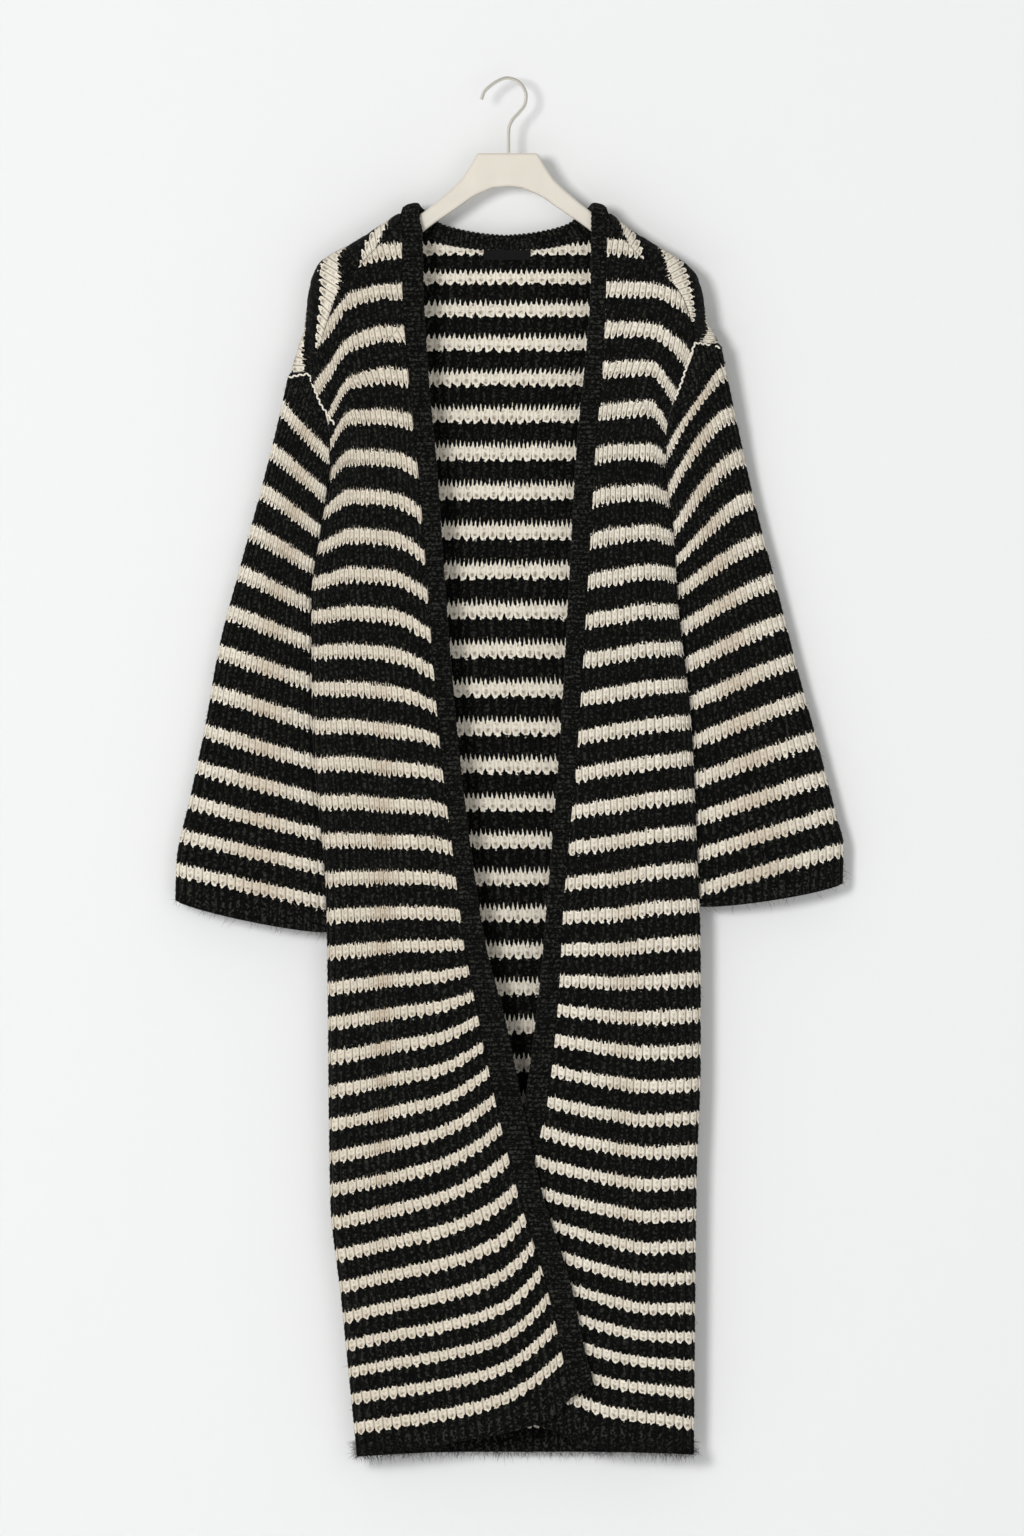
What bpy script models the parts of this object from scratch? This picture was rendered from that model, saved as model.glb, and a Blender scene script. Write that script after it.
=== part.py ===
"""Long open duster cardigan in chunky rib knit, hanging on a flat hanger with a wire hook.

Metres, +Z up, +Y toward the wall behind. The origin is the inside of the hook's bow, where
the hanger hangs. Tables are in millimetres: x is to the viewer's right, drop is down from
the origin, depth is along +Y. "left" in a table's name is the viewer's left.
"""

import bpy
import numpy as np

MM = 0.001
WALL = 3.0
SLEEVE_WALL = 2.4
RIB = 1.0
BAND_WALL = 4.0
SEAM = 1.0
SLEEVE_GAP = 2.4
COLUMNS_PER_INSIDE = 4

BODY_DEPTH = 26.0
SIDE_POWER = 2.4
FOLD_REACH = 80.0
ARMHOLE_REACH = 60.0
ARMHOLE_TOP = 290.0
UNDERARM = 385.0
OVERLAP_LIFT = 11.0

BACK_RIBS = 40
FRONT_RIBS = 20
SLEEVE_RIBS = 32
NEAR_ROWS = [0, 0.08, 0.18, 0.33, 0.52, 0.74, 0.92, 1]
EVEN_ROWS = 11
NEAR = 0.4
SLEEVE_ROWS = 9

HANGER_DEPTH = 11.0
WIRE = 3.4

COLOURS = {
    "knit": ((0.02, 0.02, 0.019), 0.95, 0.0),
    "satin": ((0.012, 0.012, 0.014), 0.4, 0.0),
    "hanger": ((0.78, 0.74, 0.63), 0.45, 0.0),
    "wire": ((0.72, 0.68, 0.6), 0.35, 1.0),
}

# Edges of the front and back panels: armhole, then side seam. Columns: drop, x.
LEFT_EDGE = [
    (130, -204), (293, -198.5), (314, -191), (338, -181), (361, -177), (385, -177), (453, -186),
    (520, -195), (643, -194), (824, -180), (1121, -176), (1221, -165), (1281, -159), (1390, -148),
]
RIGHT_EDGE = [
    (130, 198), (264, 187.5), (305, 173.5), (338, 161), (361, 158), (385, 158), (450, 164.5),
    (526, 169.5), (643, 182.5), (749, 187.5), (881, 192), (981, 192), (1100, 188), (1390, 185),
]
# Shoulder folds as the front view shows them. Columns: share, x, drop.
LEFT_FOLD = [
    (0.0, -216.5, 294), (0.03, -209.5, 269), (0.05, -203.5, 250), (0.085, -199.5, 218),
    (0.11, -196, 200), (0.14, -186.5, 182), (0.18, -155, 164), (0.22, -127, 146),
    (0.25, -109, 134), (0.2625, -105, 131), (0.29, -92, 127), (0.5, -3, 127),
]
RIGHT_FOLD = [
    (0.0, 211.5, 265), (0.03, 206, 253), (0.05, 199.5, 242), (0.085, 195, 215),
    (0.11, 189, 196), (0.14, 173.5, 181), (0.18, 145, 164), (0.22, 118.5, 147),
    (0.25, 103.5, 134), (0.2625, 100, 131), (0.29, 86, 127), (0.5, -3, 127),
]
# Forward shoulder seams, from the neck out to the armhole. Columns: share, x, drop.
LEFT_SEAM = [
    (0.0, -198.5, 292.4), (0.05, -188, 265), (0.085, -179, 238), (0.11, -171, 217),
    (0.14, -159, 199), (0.18, -144.5, 182), (0.22, -125.5, 162), (0.25, -109, 146), (0.3, -106, 142),
]
RIGHT_SEAM = [
    (0.0, 187.5, 263.4), (0.05, 183, 238), (0.085, 176, 219), (0.11, 167, 206),
    (0.14, 152, 194), (0.18, 132.5, 177), (0.22, 115, 158), (0.25, 104.5, 146), (0.3, 101, 142),
]
# Front band: its sewn edge and its free edge. Columns: drop, sewn x, free x.
LEFT_BAND = [
    (160, -105, -86), (212, -104.5, -84.5), (296, -98.5, -79.5), (396, -88.5, -70.5),
    (518, -78.5, -62), (661, -67.5, -50), (771, -54.5, -37), (865, -42.5, -22.5),
    (945, -27.5, -2), (1027, -10.5, 14.5), (1114, 11, 34), (1203, 38.5, 62), (1290, 58.5, 80),
    (1330, 67, 88),
]
RIGHT_BAND = [
    (160, 99, 84.5), (212, 98, 83.5), (289, 94.5, 77.5), (371, 87.5, 69.5), (441, 83.5, 65.5),
    (661, 70, 53), (835, 55, 39), (903, 51.5, 33), (964, 46.5, 26), (1022, 39.5, 18),
    (1080, 27, 6), (1221, 9, -11), (1370, -3, -22),
]
# The band over the shoulder and round the back neck, from the front to the middle of the back.
# Columns: sewn x, drop, depth, then free x, drop, depth.
LEFT_NECK = [
    (-105, 141, -15.5, -88.5, 141, -15.5), (-104.5, 131, -10, -89.5, 128, -10),
    (-103, 127, 0, -89, 124, 0), (-99, 133, 11, -86.5, 127.5, 9.5),
    (-91, 146, 18, -79, 134, 15.5), (-72, 159.5, 21.5, -67, 144.5, 19),
    (-48, 165.5, 22.5, -45, 151.5, 20.5), (-24, 168, 23, -22, 155.5, 21), (-2, 168.5, 23.2, -2, 157, 21.2),
]
RIGHT_NECK = [
    (99, 141, -15.5, 84.5, 141, -15.5), (98.5, 131, -10, 85, 128, -10),
    (97.5, 127, 0, 84.5, 124, 0), (94, 133, 11, 81.5, 127.5, 9.5),
    (86, 146, 18, 74, 134, 15.5), (70, 159.5, 21.5, 62, 144.5, 19),
    (46, 165.5, 22.5, 41, 151.5, 20.5), (22, 168, 23, 18, 155.5, 21), (-2, 168.5, 23.2, -2, 157, 21.2),
]
# Shares of the back's width at which its neck edge passes each row of the two tables above.
NECK_SHARES = [0.25, 0.256, 0.2625, 0.275, 0.2875, 0.325, 0.385, 0.443, 0.5]
BACK_RETURN = 50.0
# Hems, along each panel from its side edge (share 0). Columns: share, drop.
LEFT_HEM = [(0.0, 1378), (0.2, 1372), (0.45, 1363), (0.7, 1353), (0.88, 1340), (1.0, 1318)]
RIGHT_HEM = [(0.0, 1376), (0.3, 1371), (0.55, 1366), (0.75, 1352), (0.9, 1342), (1.0, 1332)]
BACK_HEM = [(0.0, 1378), (0.3, 1374), (0.5, 1374), (0.7, 1374), (1.0, 1376)]
# Outer edges of the sleeves. Columns: drop, x.
LEFT_SLEEVE = [
    (294, -217), (319, -222.5), (407, -244.5), (488, -266.5), (568, -287.5), (647, -301.5),
    (718, -316.5), (785, -330.5), (821, -331.5),
]
RIGHT_SLEEVE = [
    (265, 212), (332, 226), (424, 246.5), (501, 266.5), (599, 291.5), (659, 308),
    (738, 328.5), (767, 335.5), (804, 334.5),
]
# Soft vertical folds. Columns: x, half width, deepest drop, reach up and down, depth.
FRONT_FOLDS = [
    (-125, 22, 830, 330, 5.0), (-60, 20, 1190, 170, 2.5), (118, 24, 960, 300, 2.5),
    (150, 16, 470, 150, 3.0), (-158, 16, 470, 130, 2.5),
]
BACK_FOLDS = [(-110, 30, 620, 300, 4.0), (96, 28, 760, 330, 4.0), (-12, 26, 1100, 260, 3.0)]
# Hanger arm, from the middle out. Columns: x, top drop, bottom drop.
HANGER_ARM = [
    (0, 73.8, 107), (15, 73.8, 108.5), (30, 73.8, 115), (38, 88, 119.5), (46, 100, 125.5),
    (57, 110.5, 133), (72, 123.5, 143), (84, 132.5, 152), (104, 146, 166), (120, 155.5, 176),
    (148, 175, 194), (162, 187, 203), (166, 195, 205),
]
# Wire hook: x and drop of its middle line, from the open tip to the stem's foot.
HOOK_LINE = [
    (-26, 20), (-23.6, 12.8), (-18, 7), (-10, 1.5), (-1, -1.7), (8, 0.2), (15.2, 6.6),
    (18.8, 16), (17.4, 25), (11.5, 33), (4.5, 41), (1.2, 50), (1, 60), (1, 73.2),
]
LABEL = {"x": (-24, 23), "drop": (170, 180)}
LABEL_OFF = 2.0


def clear_scene():
    for item in list(bpy.data.objects):
        bpy.data.objects.remove(item)


def smooth_at(rows, where, column=1):
    """Reads a table's column at a place by a monotone curve through its rows."""
    knots = np.array([row[0] for row in rows], float)
    values = np.array([row[column] for row in rows], float)
    where = np.clip(np.asarray(where, float), knots[0], knots[-1])
    step = np.diff(knots)
    slope = np.diff(values) / step
    same_way = slope[:-1] * slope[1:] > 0
    total = np.where(same_way, slope[:-1] + slope[1:], 1.0)
    middle = np.where(same_way, 2 * slope[:-1] * slope[1:] / total, 0.0)
    tangent = np.concatenate([[slope[0]], middle, [slope[-1]]])
    at = np.clip(np.searchsorted(knots, where, side="right") - 1, 0, len(step) - 1)
    t = (where - knots[at]) / step[at]
    start = (2 * t**3 - 3 * t**2 + 1) * values[at] + (t**3 - 2 * t**2 + t) * step[at] * tangent[at]
    end = (3 * t**2 - 2 * t**3) * values[at + 1] + (t**3 - t**2) * step[at] * tangent[at + 1]
    return start + end


def ease(low, high, value):
    t = np.clip((np.asarray(value, float) - low) / (high - low), 0, 1)
    return t * t * (3 - 2 * t)


def round_edge(edge, drop, side):
    """Where the body turns from front to back: outside the armhole, and at the side seam below it."""
    into = np.clip((np.asarray(drop, float) - ARMHOLE_TOP) / (UNDERARM - ARMHOLE_TOP), 0, 1)
    reach = ARMHOLE_REACH * np.sqrt(1 - into**2)
    return smooth_at(edge, drop) + side * reach


def fold_drop(x):
    """How far down the shoulder fold lies at x."""
    left = [(row[1], row[2]) for row in LEFT_FOLD]
    right = [(row[1], row[2]) for row in reversed(RIGHT_FOLD[:-1])]
    return smooth_at(left + right, x)


def half_depth(x, drop):
    """Half the body's thickness from front to back at a place in the front view."""
    left = round_edge(LEFT_EDGE, drop, -1)
    right = round_edge(RIGHT_EDGE, drop, 1)
    across = np.clip(abs(2 * x - left - right) / (right - left), 0, 1)
    sides = (1 - across**SIDE_POWER) ** (1 / SIDE_POWER)
    slope = (fold_drop(x + 2) - fold_drop(x - 2)) / 4
    below = np.clip((drop - fold_drop(x)) / np.sqrt(1 + slope**2) / FOLD_REACH, 0, 1)
    top = (1 - (1 - below) ** SIDE_POWER) ** (1 / SIDE_POWER)
    return BODY_DEPTH * (1 - 0.2 * ease(900, 1380, drop)) * sides * top


def fold_dents(folds, x, drop):
    total = 0.0
    for middle, half, deepest, reach, depth in folds:
        across = np.exp(-(((x - middle) / half) ** 2))
        along = np.exp(-(((drop - deepest) / reach) ** 2))
        total = total + depth * across * along
    return total


def overlap_lift(x, drop):
    """The left front stands forward where it lies over the right one."""
    return OVERLAP_LIFT * ease(900, 1080, drop) * ease(-90, -10, x)


def front_point(x, drop, lifted):
    depth = -half_depth(x, drop) + fold_dents(FRONT_FOLDS, x, drop)
    if lifted:
        depth = depth - overlap_lift(x, drop)
    return np.stack([x, np.minimum(depth, -0.3), -drop], axis=-1)


def back_point(x, drop):
    depth = half_depth(x, drop) - fold_dents(BACK_FOLDS, x, drop)
    return np.stack([x, np.maximum(depth, 0.3), -drop], axis=-1)


def even_shares(line, count):
    """Shares of a dense line's parameter that part it into equal lengths."""
    lengths = np.linalg.norm(np.diff(line, axis=0), axis=1)
    run = np.concatenate([[0], np.cumsum(lengths)])
    return np.interp(np.linspace(0, run[-1], count), run, np.linspace(0, 1, len(run)))


def resample(line, places):
    """Points of a dense line at given lengths along it."""
    lengths = np.linalg.norm(np.diff(line, axis=0), axis=1)
    run = np.concatenate([[0], np.cumsum(lengths)])
    return np.stack([np.interp(places, run, line[:, axis]) for axis in range(3)], axis=-1)


def line_length(line):
    return np.linalg.norm(np.diff(line, axis=0), axis=1).sum()


def unit(vectors):
    return vectors / np.maximum(np.linalg.norm(vectors, axis=-1, keepdims=True), 1e-9)


def bisectors(grid, axis, closed=False):
    """Direction through each point of a grid along one axis, halfway between its two steps."""
    steps = unit(np.diff(grid, axis=axis))
    first = np.take(steps, [0], axis=axis)
    last = np.take(steps, [-1], axis=axis)
    if closed:
        first = last = unit(np.take(grid, [0], axis=axis) - np.take(grid, [-1], axis=axis))
    return unit(np.concatenate([first, steps], axis=axis) + np.concatenate([steps, last], axis=axis))


def normals(grid, closed):
    """Unit normals of a grid of points, rows by columns."""
    return unit(np.cross(bisectors(grid, 1, closed), bisectors(grid, 0)))


def body_normals(grid):
    """Outward unit normals of the body's front and back, from the shape of its thickness."""
    x, depth, drop = grid[..., 0], grid[..., 1], -grid[..., 2]
    left = round_edge(LEFT_EDGE, drop, -1)
    right = round_edge(RIGHT_EDGE, drop, 1)
    x = np.clip(x, left + NEAR, right - NEAR)
    drop = np.maximum(drop, fold_drop(x) + NEAR)
    rise = (half_depth(x + NEAR / 2, drop) - half_depth(x - NEAR / 2, drop)) / NEAR
    fall = (half_depth(x, drop + NEAR / 2) - half_depth(x, drop - NEAR / 2)) / NEAR
    facing = np.where(abs(depth) < NEAR, 0.0, np.sign(depth))
    return unit(np.stack([-rise, facing, fall], axis=-1))


def wall(name, grid, finish, facing, inside_at, ribs=True, closed=False, turned=False, thick=WALL):
    """A closed wall: raised ribs outside, and a plain inside that has only the columns inside_at."""
    rows, columns = grid.shape[:2]
    raised = np.zeros(columns)
    if ribs:
        raised[1::2] = RIB
    outside = grid + facing * raised[None, :, None]
    inside = (grid - facing * thick)[:, inside_at]
    inner = len(inside_at)
    bounds = list(inside_at) + [columns]
    points = [tuple(point * MM) for point in outside.reshape(-1, 3)]
    points += [tuple(point * MM) for point in inside.reshape(-1, 3)]
    base = rows * columns
    faces = []

    def outer_at(row, column):
        return row * columns + column % columns

    def inner_at(row, column):
        return base + row * inner + column % inner

    last_column = columns if closed else columns - 1
    last_inner = inner if closed else inner - 1
    for row in range(rows - 1):
        for column in range(last_column):
            faces.append((outer_at(row, column), outer_at(row + 1, column),
                          outer_at(row + 1, column + 1), outer_at(row, column + 1)))
        for column in range(last_inner):
            faces.append((inner_at(row, column + 1), inner_at(row + 1, column + 1),
                          inner_at(row + 1, column), inner_at(row, column)))
    for row, flip in ((0, False), (rows - 1, True)):
        for column in range(last_inner):
            rim = [outer_at(row, at) for at in range(bounds[column], bounds[column + 1] + 1)]
            rim += [inner_at(row, column + 1), inner_at(row, column)]
            faces.append(tuple(reversed(rim)) if flip else tuple(rim))
    if not closed:
        for row in range(rows - 1):
            faces.append((outer_at(row + 1, 0), outer_at(row, 0), inner_at(row, 0), inner_at(row + 1, 0)))
            faces.append((outer_at(row, columns - 1), outer_at(row + 1, columns - 1),
                          inner_at(row + 1, inner - 1), inner_at(row, inner - 1)))
    if not turned:
        faces = [tuple(reversed(face)) for face in faces]
    return add_mesh(name, points, faces, finish)


def add_mesh(name, points, faces, finish):
    mesh = bpy.data.meshes.new(name)
    mesh.from_pydata(points, [], faces)
    mesh.validate()
    mesh.materials.append(material(finish))
    item = bpy.data.objects.new(name, mesh)
    bpy.context.scene.collection.objects.link(item)
    return item


def material(finish):
    found = bpy.data.materials.get(finish)
    if found:
        return found
    colour, roughness, metallic = COLOURS[finish]
    made = bpy.data.materials.new(finish)
    made.use_nodes = True
    shader = made.node_tree.nodes["Principled BSDF"]
    shader.inputs["Base Color"].default_value = (*colour, 1)
    shader.inputs["Roughness"].default_value = roughness
    shader.inputs["Metallic"].default_value = metallic
    return made


def row_steps(armhole, reach):
    """Lengths down a panel of its rows: close together by the armhole, even below it."""
    near = np.array(NEAR_ROWS)[:, None] * armhole
    share = np.linspace(0, 1, EVEN_ROWS + 1)[1:, None]
    return np.concatenate([near, near[-1] + share * (reach - near[-1])])


def front_panel(name, edge, band, seam, hem, side, lifted):
    """A front: its columns run from the forward shoulder seam or the armhole to the hem."""
    def spot(share, drop):
        outer = smooth_at(edge, drop)
        inner = smooth_at(band, drop) + side * SEAM
        return outer + share * (inner - outer)

    dense = np.linspace(0, 1, 200)
    level = np.full(200, 700.0)
    shares = even_shares(front_point(spot(dense, level), level, lifted), FRONT_RIBS * 2 + 1)
    seam_x = np.array([row[1] for row in seam]) - side * SEAM
    seam_drop = np.array([row[2] for row in seam]) + SEAM
    outer = smooth_at(edge, seam_drop)
    inner = smooth_at(band, seam_drop) + side * SEAM
    seam_share = np.clip((seam_x - outer) / (inner - outer), 0, 1)
    top = np.interp(shares, seam_share, seam_drop)
    bottom = smooth_at(hem, shares)
    drop = top + row_steps(UNDERARM + NEAR - top, bottom - top)
    grid = front_point(spot(shares[None, :], drop), drop, lifted)
    facing = body_normals(grid)
    facing[:, -1, 0] = 0
    wall(name, grid, "knit", unit(facing), range(0, len(shares), COLUMNS_PER_INSIDE), turned=side < 0)
    return drop[:, -1]


def neck_spot(share):
    """A point of the back panel's neck edge, just off the band's sewn edge."""
    rows = np.array(LEFT_NECK if share <= 0.5 else RIGHT_NECK)
    at = np.interp(min(share, 1 - share), NECK_SHARES, np.arange(len(rows)))
    row = [np.interp(at, np.arange(len(rows)), rows[:, column]) for column in range(6)]
    sewn = np.array([row[0], row[2], -row[1]])
    free = np.array([row[3], row[5], -row[4]])
    return sewn + unit(sewn - free) * 2 * SEAM


def back_column(share):
    """Places down one back column, from the forward seam or the neck to the hem."""
    on_left = share <= 0.5
    fold, seam = (LEFT_FOLD, LEFT_SEAM) if on_left else (RIGHT_FOLD, RIGHT_SEAM)
    reach = min(share, 1 - share)
    hem = smooth_at(BACK_HEM, share)
    if reach <= NECK_SHARES[0]:
        fold_x, fold_at = smooth_at(fold, reach), smooth_at(fold, reach, 2)
        start_x, start_at = smooth_at(seam, reach), smooth_at(seam, reach, 2)
        run = np.linspace(0, 1, 40) ** 0.5
        x = start_x + run * (fold_x - start_x)
        drop = start_at + run * (fold_at - start_at)
        front = np.stack([x, -half_depth(x, drop), -drop], axis=-1)[:-1]
    else:
        start = neck_spot(share)
        fold_x, fold_at = start[0], -start[2]
        front = start[None, :]
    lead = 0 if reach <= NECK_SHARES[0] else 6
    drop = fold_at + lead + np.linspace(0, 1, 400) ** 2 * (hem - fold_at - lead)
    left = smooth_at(LEFT_EDGE, drop)
    right = smooth_at(RIGHT_EDGE, drop)
    low_x = left + share * (right - left)
    return_by = fold_at + BACK_RETURN + (UNDERARM - BACK_RETURN - fold_at) * min(reach / 0.15, 1)
    x = fold_x + (low_x - fold_x) * ease(fold_at, max(return_by, fold_at + BACK_RETURN), drop)
    back = back_point(x, drop)
    if reach > NECK_SHARES[0]:
        line = np.concatenate([front, back])
        first = [0, 3, 6, 9]
    else:
        back[0, 1] = 0.0
        line = np.concatenate([front, back])
        wrap = line_length(line[:len(front) + 1])
        near = [0, wrap * 0.5, wrap - 7, wrap]
        first = [max(place, 2.0 * index) for index, place in enumerate(near)]
    run = np.concatenate([[0], np.cumsum(np.linalg.norm(np.diff(line, axis=0), axis=1))])
    behind = line[:, 1] >= 0
    armhole = np.interp(UNDERARM + NEAR, -line[behind, 2], run[behind]) - first[-1]
    rest = row_steps(np.array([armhole]), np.array([run[-1] - first[-1]]))[1:, 0]
    return resample(line, np.concatenate([first, first[-1] + rest]))


def back_panel():
    shares = np.linspace(0, 1, BACK_RIBS * 2 + 1)
    grid = np.stack([back_column(share) for share in shares], axis=1)
    last = len(shares) - 1
    corner = int(NECK_SHARES[0] * last)
    turn = [*range(corner, corner + 4), *range(corner + 4, last // 2, 2)]
    inside_at = {*range(0, last + 1, COLUMNS_PER_INSIDE), *turn, *(last - at for at in turn)}
    return wall("back", grid, "knit", body_normals(grid), sorted(inside_at))


def sleeve_head(edge, fold, seam, side):
    """The armhole as a ring: the shoulder fold, the front edge, the underarm, the back edge."""
    top_x, top_drop = fold[0][1], fold[0][2]
    corner_x, corner_drop = seam[0][1], seam[0][2]
    run = np.linspace(0, 1, 20)
    x = top_x + run * (corner_x - top_x)
    drop = top_drop + run * (corner_drop - top_drop)
    down = np.linspace(corner_drop, UNDERARM, 60)[1:]
    x = np.concatenate([x, smooth_at(edge, down)])
    drop = np.concatenate([drop, down])
    front = np.stack([x, -half_depth(x, drop), -drop], axis=-1)
    front[0, 1] = 0
    back_drop = np.linspace(top_drop, UNDERARM, 60)
    x = top_x + (smooth_at(edge, back_drop) - top_x) * ease(top_drop, top_drop + BACK_RETURN, back_drop)
    back = np.stack([x, half_depth(x, back_drop), -back_drop], axis=-1)
    back[0, 1] = 0
    back[-1, 1] = 0
    return front, back[::-1]


def ring(front, back, count):
    half = count // 2
    first = resample(front, np.linspace(0, line_length(front), half + 1))
    second = resample(back, np.linspace(0, line_length(back), half + 1))
    return np.concatenate([first[:-1], second[:-1]])


def sleeve(name, edge, outline, fold, seam, side, cuff_drop):
    """A bell sleeve: flattened rings from the armhole to the cuff, set back behind the body's side."""
    count = SLEEVE_RIBS * 2
    front, back = sleeve_head(edge, fold, seam, side)
    head = ring(front, back, count)
    rows = [head + np.array([side * SLEEVE_GAP, 0, -0.6 * SLEEVE_GAP])]
    top = outline[0][0]
    for step in range(1, SLEEVE_ROWS + 1):
        t = step / SLEEVE_ROWS
        outer_drop = top + t * (outline[-1][0] - top)
        inner_drop = UNDERARM + 8 + t * (cuff_drop - UNDERARM - 8)
        outer_x = smooth_at(outline, outer_drop)
        inner_x = smooth_at(edge, inner_drop) + side * (SLEEVE_GAP - 3.0 * ease(0.1, 0.45, t))
        angle = np.linspace(0, np.pi, 80)
        across = (1 - np.cos(angle)) / 2
        x = outer_x + across * (inner_x - outer_x)
        drop = outer_drop + across * (inner_drop - outer_drop) + 7 * t * np.sin(angle)
        deep = (15 + 3 * t) * np.sin(angle) ** 0.6
        middle = 15 * ease(0, 0.28, t) * np.ones(80)
        front = np.stack([x, middle - deep, -drop], axis=-1)
        back = np.stack([x, middle + deep * 0.85, -drop], axis=-1)[::-1]
        rows.append(ring(front, back, count))
    grid = np.stack(rows)
    facing = normals(grid, True) * side
    facing[0] = body_normals(head)
    inside_at = range(0, count, COLUMNS_PER_INSIDE)
    return wall(name, grid, "knit", facing, inside_at, closed=True, turned=side < 0,
                thick=SLEEVE_WALL)


def band_side(front, neck, lifted, row_drops):
    """Sections of half the band from the hem up the front, over the shoulder, to the back neck."""
    bottom = row_drops[-1]
    sections = []
    for drop in row_drops[:0:-1]:
        sewn_x = smooth_at(front, drop)
        free_x = smooth_at(front, drop, 2)
        slant = -12 * ease(1260, bottom, drop)
        sewn = front_point(np.array(sewn_x), np.array(drop), lifted)
        free = front_point(np.array(free_x), np.array(drop + slant), lifted)
        free[1] = sewn[1]
        sections.append((sewn, free))
    for row in neck:
        sewn = np.array([row[0], row[2], -row[1]])
        free = np.array([row[3], row[5], -row[4]])
        sections.append((sewn, free))
    return sections


def front_band(left_rows, right_rows):
    left = band_side(LEFT_BAND, LEFT_NECK, True, left_rows)
    right = band_side(RIGHT_BAND, RIGHT_NECK, False, right_rows)
    sections = left + right[::-1][1:]
    grid = np.array([[sewn + share * (free - sewn) for share in (0, 0.5, 1)] for sewn, free in sections])
    return wall("front_band", grid, "knit", normals(grid, False), range(3), ribs=False, thick=BAND_WALL)


def neck_label():
    x = np.linspace(*LABEL["x"], 5)
    rows = []
    for drop in LABEL["drop"]:
        depth = half_depth(x, np.full(5, float(drop))) - WALL - LABEL_OFF
        rows.append(np.stack([x, depth, np.full(5, -float(drop))], axis=-1))
    grid = np.array(rows)
    return wall("neck_label", grid, "satin", normals(grid, False), range(5), ribs=False, thick=0.6)


def hanger_body():
    """Flat shaped board: its outline, with a chamfer all round."""
    right = [(row[0], -row[1]) for row in HANGER_ARM]
    under = [(row[0], -row[2]) for row in reversed(HANGER_ARM)]
    half = right + under
    outline = half + [(-x, z) for x, z in reversed(half) if x > 0]
    mesh = bpy.data.meshes.new("hanger_body")
    count = len(outline)
    points = [(x * MM, -HANGER_DEPTH / 2 * MM, z * MM) for x, z in outline]
    points += [(x * MM, HANGER_DEPTH / 2 * MM, z * MM) for x, z in outline]
    faces = [tuple(reversed(range(count))), tuple(range(count, 2 * count))]
    for index in range(count):
        after = (index + 1) % count
        faces.append((index, after, count + after, count + index))
    mesh.from_pydata(points, [], faces)
    mesh.materials.append(material("hanger"))
    item = bpy.data.objects.new("hanger_body", mesh)
    bpy.context.scene.collection.objects.link(item)
    chamfer = item.modifiers.new("chamfer", "BEVEL")
    chamfer.width = 2.2 * MM
    chamfer.segments = 2
    chamfer.limit_method = "ANGLE"
    chamfer.angle_limit = 1.0
    return item


def hanger_hook():
    curve = bpy.data.curves.new("hanger_hook", "CURVE")
    curve.dimensions = "3D"
    curve.bevel_depth = WIRE / 2 * MM
    curve.bevel_resolution = 2
    curve.use_fill_caps = True
    keys = np.array([(x, 0.0, -drop) for x, drop in HOOK_LINE])
    run = np.concatenate([[0], np.cumsum(np.linalg.norm(np.diff(keys, axis=0), axis=1))])
    places = np.linspace(0, run[-1], 32)
    along_x = smooth_at(list(zip(run, keys[:, 0])), places)
    along_z = smooth_at(list(zip(run, keys[:, 2])), places)
    line = curve.splines.new("POLY")
    line.points.add(len(places) - 1)
    for point, x, z in zip(line.points, along_x, along_z):
        point.co = (x * MM, 0, z * MM, 1)
    curve.materials.append(material("wire"))
    item = bpy.data.objects.new("hanger_hook", curve)
    bpy.context.scene.collection.objects.link(item)
    return item


clear_scene()
left_rows = front_panel("right_front", LEFT_EDGE, LEFT_BAND, LEFT_SEAM, LEFT_HEM, -1, True)
right_rows = front_panel("left_front", RIGHT_EDGE, RIGHT_BAND, RIGHT_SEAM, RIGHT_HEM, 1, False)
back_panel()
sleeve("right_sleeve", LEFT_EDGE, LEFT_SLEEVE, LEFT_FOLD, LEFT_SEAM, -1, 852)
sleeve("left_sleeve", RIGHT_EDGE, RIGHT_SLEEVE, RIGHT_FOLD, RIGHT_SEAM, 1, 826)
front_band(left_rows, right_rows)
neck_label()
hanger_body()
hanger_hook()
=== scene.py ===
"""The striped duster cardigan on its hanger, dressed over the frame's solids.

Millimetres in the tables and metres in Blender. x is to the viewer's right, drop is down
from the hook, depth is toward the wall. "left" in a table's name is the viewer's left.
"""

from functools import partial

import bpy
import numpy as np
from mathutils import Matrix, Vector


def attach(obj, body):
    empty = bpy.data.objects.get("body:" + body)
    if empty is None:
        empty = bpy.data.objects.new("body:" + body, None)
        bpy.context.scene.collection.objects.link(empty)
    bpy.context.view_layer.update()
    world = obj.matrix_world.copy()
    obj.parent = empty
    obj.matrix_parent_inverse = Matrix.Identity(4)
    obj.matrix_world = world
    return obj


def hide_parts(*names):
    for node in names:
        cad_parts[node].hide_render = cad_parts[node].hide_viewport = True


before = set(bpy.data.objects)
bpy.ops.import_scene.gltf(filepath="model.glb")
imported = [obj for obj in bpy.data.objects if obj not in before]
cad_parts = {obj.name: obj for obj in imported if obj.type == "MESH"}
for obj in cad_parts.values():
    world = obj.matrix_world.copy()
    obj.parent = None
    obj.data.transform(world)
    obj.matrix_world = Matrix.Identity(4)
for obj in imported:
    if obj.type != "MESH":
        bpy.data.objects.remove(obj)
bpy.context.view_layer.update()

MM = 0.001
SEED = 11

# The cloth's wall and relief, and the gaps at its seams.
SEAM = 0.6
WALL = 2.9
RIB = 1.5
STITCH = 0.45
CHEVRON = 0.45
FRONT_RELIEF = 0.25
INNER_RELIEF = 0.7
PLAIN_TOP_ROWS = 6

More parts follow.
